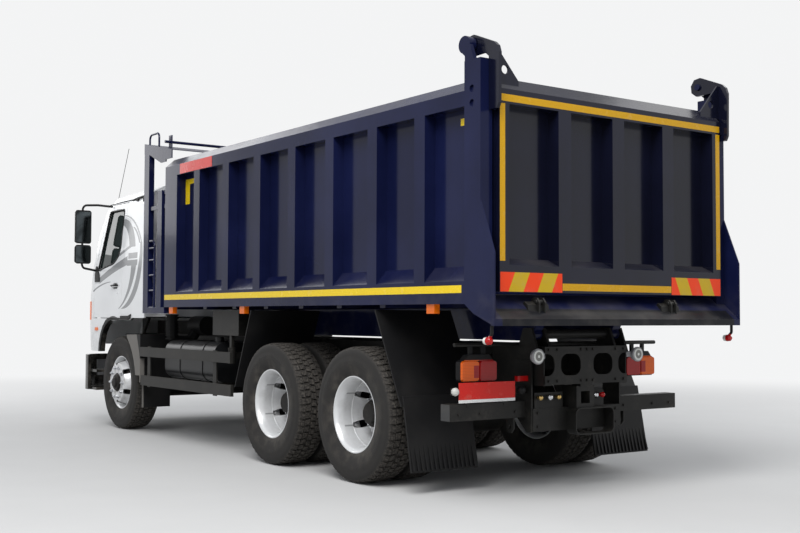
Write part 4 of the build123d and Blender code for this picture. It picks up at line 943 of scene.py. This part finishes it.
def chevron():
    """Red and yellow slanting stripes that lean inwards on both sides."""
    f = Finish("chevron_plate")
    point, x, y, z = f.place()
    slant = (abs(x) - 1.12) * 0.91 + (z - 1.444) * 0.41
    stripes = (slant * 4.23 - 0.22).modulo(1.0).over(0.5, 0.52)
    colour = f.mix(stripes, (0.5, 0.33, 0.006), (0.75, 0.045, 0.003))
    dirt = f.noise(point, 11.0, 4.0).over(0.5, 0.8)
    return f.surface(f.mix(dirt * 0.2, colour, (0.3, 0.25, 0.2)), roughness=0.3, coat_weight=0.15)


CHEVRON = chevron()

# %% Tapes and chevrons
GATE_FACE, SIDE_FACE, PANEL_FACE, FILM = 1613, 1245, 1150, 0.6
ON_GATE = (GATE_FACE, GATE_FACE + FILM)
gate, plates = Shape(), Shape()
for side, word in BOTH:
    strip = Shape().block(side_span(side, SIDE_FACE, SIDE_FACE + FILM), (-3505, 1358), (1436, 1488))
    strip.piece(f"side_tape_{word}", "tipping_body", YELLOW, "body_blue")
    gate.block(side_span(side, 1077, 1123), ON_GATE, (1647, 2700))
    plates.block(side_span(side, 560, 1120), (GATE_FACE, GATE_FACE + 1.5), (1444, 1574))
gate.block((-1123, 1123), ON_GATE, (2716, 2764))
gate.block((-556, 556), ON_GATE, (1458, 1507))
gate.piece("tailgate_tape", "tailgate", SHADED_GATE_YELLOW, "body_blue")
plates.piece("chevron_plates", "tailgate", CHEVRON, "body_blue")

# %% [markdown]
# Two more tapes mark the upper corners of each long side, an angle at the front and a short bar at the
# rear, and a blank red sign stands on the left top rail's front end.

# %% Corner marks and the blank sign
for side, word in BOTH:
    run = side_span(side, PANEL_FACE - 0.2, PANEL_FACE + FILM)
    marks = Shape()
    marks.block(run, (-3225, -3128), (2400, 2650))
    marks.block(run, (-3127, -2952), (2600, 2650))
    marks.block(run, (1232, 1382), (2590, 2640))
    marks.piece(f"corner_marks_{word}", "tipping_body", YELLOW, "body_blue")
sign = Shape().block((SIDE_FACE, SIDE_FACE + 2), (-3161, -2440), (2698, 2799))
sign.piece("blank_sign", "tipping_body", RED_PLATE, "body_blue", bevel=0.8)

# %% [markdown]
# ## The rear of the frame
#
# Below the left tail lamp stands a blank red plate with a white strip, on two feet from the bar. Beside
# it are a small white lamp and a trailer socket, and under the end plate a row of hose couplings. The
# tailgate's latches stand on the chute, and bolts hold the frame's plates.

# %% Plate, couplings and bolts
PLATE_BACK = 1127
plate = Shape().plate(((566, 696), (1084, 696), (1084, 815), (566, 815)), 1, PLATE_BACK, PLATE_BACK + 4)
plate.piece("red_plate", "chassis", RED_PLATE, "lamp_red", bevel=1.2)
strip = Shape().plate(((566, 674), (1084, 674), (1084, 696), (566, 696)), 1, PLATE_BACK, PLATE_BACK + 4.5)
strip.piece("plate_strip", "chassis", WHITE_FILM, "lamp_red", bevel=0.6)
feet = Shape()
for x in (655, 995):
    feet.block((x - 16, x + 16), (PLATE_BACK - 6, PLATE_BACK), (640, 790))
feet.block((570, 1080), (PLATE_BACK - 4, PLATE_BACK), (676, 690))
feet.block((1084, 1140), (1108, 1114), (728, 782))
feet.block((1060, 1100), (1112, 1126), (735, 775))
feet.block((455, 570), (1118, 1124), (722, 780))
feet.piece("plate_feet", "chassis", CHASSIS, "chassis_grey", bevel=1.5)
LITTLE_LAMP = ((0, 20), (6, 27), (24, 29), (36, 24), (43, 12))
SOCKET = ((0, 26), (10, 30), (34, 30), (38, 27), (40, 20), (44, 20), (46, 12))
little = Shape().turned(LITTLE_LAMP, (1115, 1110, 755), 24, "y")
little.piece("reversing_lamp", "chassis", CLEAR, "lamp_clear", smooth=True)
socket = Shape().turned(SOCKET, (517, 1124, 748), 24, "y")
socket.piece("trailer_socket", "chassis", PLASTIC, "black_plastic", smooth=True)

# The red coupling wears the red lens finish, whose emission makes it glow faintly: a painted glow on a part
# that is no lamp.
COUPLINGS = (
    # x, finish, radius
    (395, BRASS, 19), (300, STEEL, 22), (215, BRASS, 19), (-165, STEEL, 22), (-235, GLOWING_RED, 20),
)
RACK_FACE, RACK_THICK, COUPLING_Z = 1187, 6, 692
NECK = ((0, 0.6), (12, 0.6), (13, 0.85), (26, 0.85))  # along, share of the coupling's radius
HEAD = ((26, 1), (33, 1), (36, 0.9), (44, 0.55), (46, 0.3))
rack = Shape()
for x in ((150, 430), (-275, -130)):
    rack.block(x, (RACK_FACE - RACK_THICK, RACK_FACE), (606, 728))
rack.piece("coupling_rack", "chassis", CHASSIS, "chassis_grey", bevel=1.5)
for k, (x, finish, radius) in enumerate(COUPLINGS):
    coupling = Shape()
    for part, sides in ((NECK, 12), (HEAD, 24)):
        outline = [(along, radius * share) for along, share in part]
        coupling.turned(outline, (x, RACK_FACE, COUPLING_Z), sides, "y")
    coupling.piece(f"coupling_{k}", "chassis", finish, "chassis_grey", bevel=0.8)

LATCH_FOOT = ((1575, 1362), (1588, 1382), (1626, 1358), (1634, 1312))
LATCH_CHEEK = ((1560, 1374), (1588, 1408), (1628, 1406), (1652, 1374), (1650, 1292))
latches = Shape()
for x in (795, -525):
    latches.plate(LATCH_FOOT, 0, x - 95, x + 95)
    for edge in (x - 52, x + 2):
        latches.plate(LATCH_CHEEK, 0, edge, edge + 14)
    latches.turned(((-60, 15), (20, 15), (24, 10)), (x, 1622, 1378), 20, "x")
latches.piece("gate_latches", "tipping_body", CHASSIS, "chassis_grey", bevel=2.0)

BOLT_ROWS = (
    # axis, face, places along the row, heights
    ("y", 1290, (-385, -300, -60, 0, 60, 300, 385), (812, 1040)),
    ("y", 1190, (-400, 107, 400), (481, 581)),
    ("y", 1124, (-1080, -886, -560, 560, 886, 1080), (594,)),
    ("x", 427, (-3450, -2900, -2500, -1900, -650, -300, 300, 700), (850, 990)),
)
bolts = Shape()
for axis, face, places, heights in BOLT_ROWS:
    for place in places:
        for z in heights:
            centre = (place, face, z) if axis == "y" else (face, place, z)
            bolts.turned(((-3, 14), (1.5, 14)), centre, 16, axis)
            bolts.turned(((1.5, 10), (9, 9.5)), centre, 6, axis)
bolts.piece("frame_bolts", "chassis", CHASSIS, "chassis_grey")
caps = Shape()
for side, _ in BOTH:
    caps.block(side_span(side, 1156, 1159), (1022, 1122), (551, 664))
caps.piece("bar_end_caps", "chassis", END_GREY, "chassis_grey", bevel=0.8)

# %% [markdown]
# ## Cab fittings
#
# The handles sit in dark cups on the doors. The mirrors' glass faces the rear, where the driver sees it,
# and is set a little into each head's rim.

# %% Handles, mirrors and aerial
MIRROR_GLASS = metal("mirror_glass", (0.1, 0.115, 0.12), 0.02, 0.0)
CUP = ((0, 62), (1.5, 60), (1.5, 50), (0.5, 44), (0, 4))
GRIP = (
    (1196, -5060, 1612), (1222, -5050, 1614), (1228, -4975, 1616), (1222, -4905, 1614), (1196, -4895, 1612),
)
MIRROR_X, MIRROR_HALF, GLASS_Y = 1388, 84, (-5504.9, -5502)
for side, word in BOTH:
    body = f"door_{word}"
    cup = Shape().turned(CUP, (0, 0, 0), 40)
    cup.points = [Vector((side * (1196.5 + p.x), -4975 + p.y * 1.05, 1609 + p.z * 0.48)) for p in cup.points]
    cup.piece(f"handle_cup_{word}", body, PLASTIC, "black_plastic", smooth=True)
    handle = Shape().tube([(side * x, y, z) for x, y, z in rounded(GRIP, 24)], 9)
    handle.piece(f"handle_{word}", body, PLASTIC, "black_plastic", smooth=True)
    lock = Shape().turned(((-2, 11), (2, 11), (3, 9)), (0, 0, 0), 20)
    lock.points = [Vector((side * (1197 + p.x), -4908 + p.y, 1529 + p.z)) for p in lock.points]
    lock.piece(f"lock_{word}", body, STEEL, "hoist_steel", smooth=True)
    glass, (inner, outer) = Shape(), (side * (MIRROR_X - MIRROR_HALF), side * (MIRROR_X + MIRROR_HALF))
    for z, half_z in ((2305, 178), (1985, 95)):
        low, high = z - half_z, z + half_z
        glass.plate(((inner, low), (outer, low), (outer, high), (inner, high)), 1, *GLASS_Y)
    glass.piece(f"mirror_glass_{word}", body, MIRROR_GLASS, "pane", bevel=1.0)
ROD = ((1082, -5213, 2594), (1078, -5205, 2640), (1066, -5090, 2920), (1052, -4985, 3188))
aerial = Shape().tube(ROD, 3.2, 8)
aerial.turned(((0, 13), (14, 12), (22, 6)), (1083, -5215, 2580), 16, "z")
aerial.piece("aerial", "cab", PLASTIC, "black_plastic", smooth=True)
gutter = Shape()
gutter.tube(((1112, -5390, 2562), (1116, -5000, 2570), (1116, -4640, 2574)), 5, 8)
gutter.tube(((1112, -4690, 2566), (1118, -4500, 2580), (1118, -4345, 2586)), 13, 10)
gutter.block((1112, 1130), (-4375, -4345), (2500, 2590))
gutter.block((1118, 1134), (-4560, -4500), (2545, 2575))
gutter.piece("roof_gutter", "cab", PLASTIC, "black_plastic", bevel=2.0)

# %% [markdown]
# Each door's window sits in a black rubber frame, a flat bead that follows the opening. The cab's side
# leans in with height, so every point of the bead takes its x from a table of the cab's half widths.

# %% Window frames
CAB_HALF = ((830, 1195), (1480, 1200), (1800, 1193), (2200, 1166), (2500, 1140), (2630, 1085))
WINDOW = ((-4850, 2475), (-5285, 2475), (-5525, 1800), (-5060, 1865), (-4930, 1935), (-4868, 2040))


def cab_half(z):
    """The cab's half width at a height."""
    for (z0, half0), (z1, half1) in zip(CAB_HALF, CAB_HALF[1:]):
        if z <= z1:
            return half0 + (half1 - half0) * (z - z0) / (z1 - z0)
    return CAB_HALF[-1][1]


corners = [Vector((0, y, z)) for y, z in WINDOW]
start = (corners[-1] + corners[0]) / 2
for side, word in BOTH:
    path = [(side * (cab_half(z) - 4), y, z) for _, y, z in rounded([start, *corners, start], 40)]
    bead = Shape().tube(path, 11, 8)
    bead.piece(f"window_frame_{word}", f"door_{word}", PLASTIC, "black_plastic", smooth=True)

# %% [markdown]
# ## Front
#
# Two wiper arms rest on the windscreen's foot.

# %% Wipers
wipers = Shape()
for x in (-520, 160):
    wipers.tube(((x, -6012, 1806), (x + 40, -6030, 1840), (x + 300, -5998, 1985)), 7)
    wipers.tube(((x + 40, -6012, 1892), (x + 300, -5994, 1992), (x + 600, -5962, 2075)), 5)
wipers.piece("wipers", "cab", PLASTIC, "black_plastic", smooth=True)

# %% [markdown]
# ## Floor and light
#
# The floor is pale and matt and keeps the shadow. With distance it passes into the white of the world,
# which the camera, gloss and glass see, so that no horizon cuts the picture. Soft lamps do the lighting.

# %% Floor, lights and world
RAYS = (0, 3, 6)  # camera, glossy and transmission rays of a Light Path node
BACKDROP = (0.9, 0.905, 0.91)
FLOOR_HALF = 80


def backdrop_rays(f):
    """1 for the rays that see the white backdrop, 0 for those that only light the lorry."""
    camera_ray, glossy_ray, transmission_ray = [f.node("LightPath", out=i) for i in RAYS]
    return (camera_ray + glossy_ray + transmission_ray).least(1.0)


corners = [(u * FLOOR_HALF, v * FLOOR_HALF, 0) for u, v in ((-1, -1), (1, -1), (1, 1), (-1, 1))]
floor = linked("floor", plain_mesh("floor", corners, [(0, 1, 2, 3)]))
f = Finish("pale_floor")
point, x, y, z = f.place()
away = reach(x, y).over(4.5, 15.0)
tone = f.mix(f.noise(point, 1.5, 5.0), (0.52, 0.517, 0.51), (0.56, 0.557, 0.55))
matt = f.node("BsdfPrincipled", {}, {"Base Color": tone, "Roughness": 0.9, "Specular IOR Level": 0.1})
white = f.node("Emission", {}, {"Color": (*BACKDROP, 1), "Strength": 1.0})
blend = f.node("MixShader", {}, {0: backdrop_rays(f) * away, 1: matt, 2: white})
f.node("OutputMaterial", {}, {"Surface": blend})
floor.data.materials.append(f.material)

AIM = Vector((0, 0, 1.2))
LIGHTS = (
    # name, place, size, watts
    ("sky_light", (6, 7, 9), 6.0, 1150),
    ("fill_light", (-9, 3, 6), 8.0, 360),
    ("front_light", (2, -10, 6), 7.0, 360),
)
for name, place, size, watts in LIGHTS:
    lamp = bpy.data.lights.new(name, "AREA")
    lamp.energy, lamp.size = watts, size
    holder = linked(name, lamp)
    holder.location = place
    holder.rotation_euler = (AIM - Vector(place)).to_track_quat("-Z", "Y").to_euler()

sky = Finish("sky", "worlds")
backs = [sky.node("Background", {}, {"Color": (*colour, 1), "Strength": strength})
         for colour, strength in (((0.9, 0.94, 1.0), 0.6), (BACKDROP, 1.0))]
blend = sky.node("MixShader", {}, {0: backdrop_rays(sky), 1: backs[0], 2: backs[1]})
sky.node("OutputWorld", {}, {"Surface": blend})
bpy.context.scene.world = sky.material
bpy.context.scene.view_settings.view_transform = "Standard"
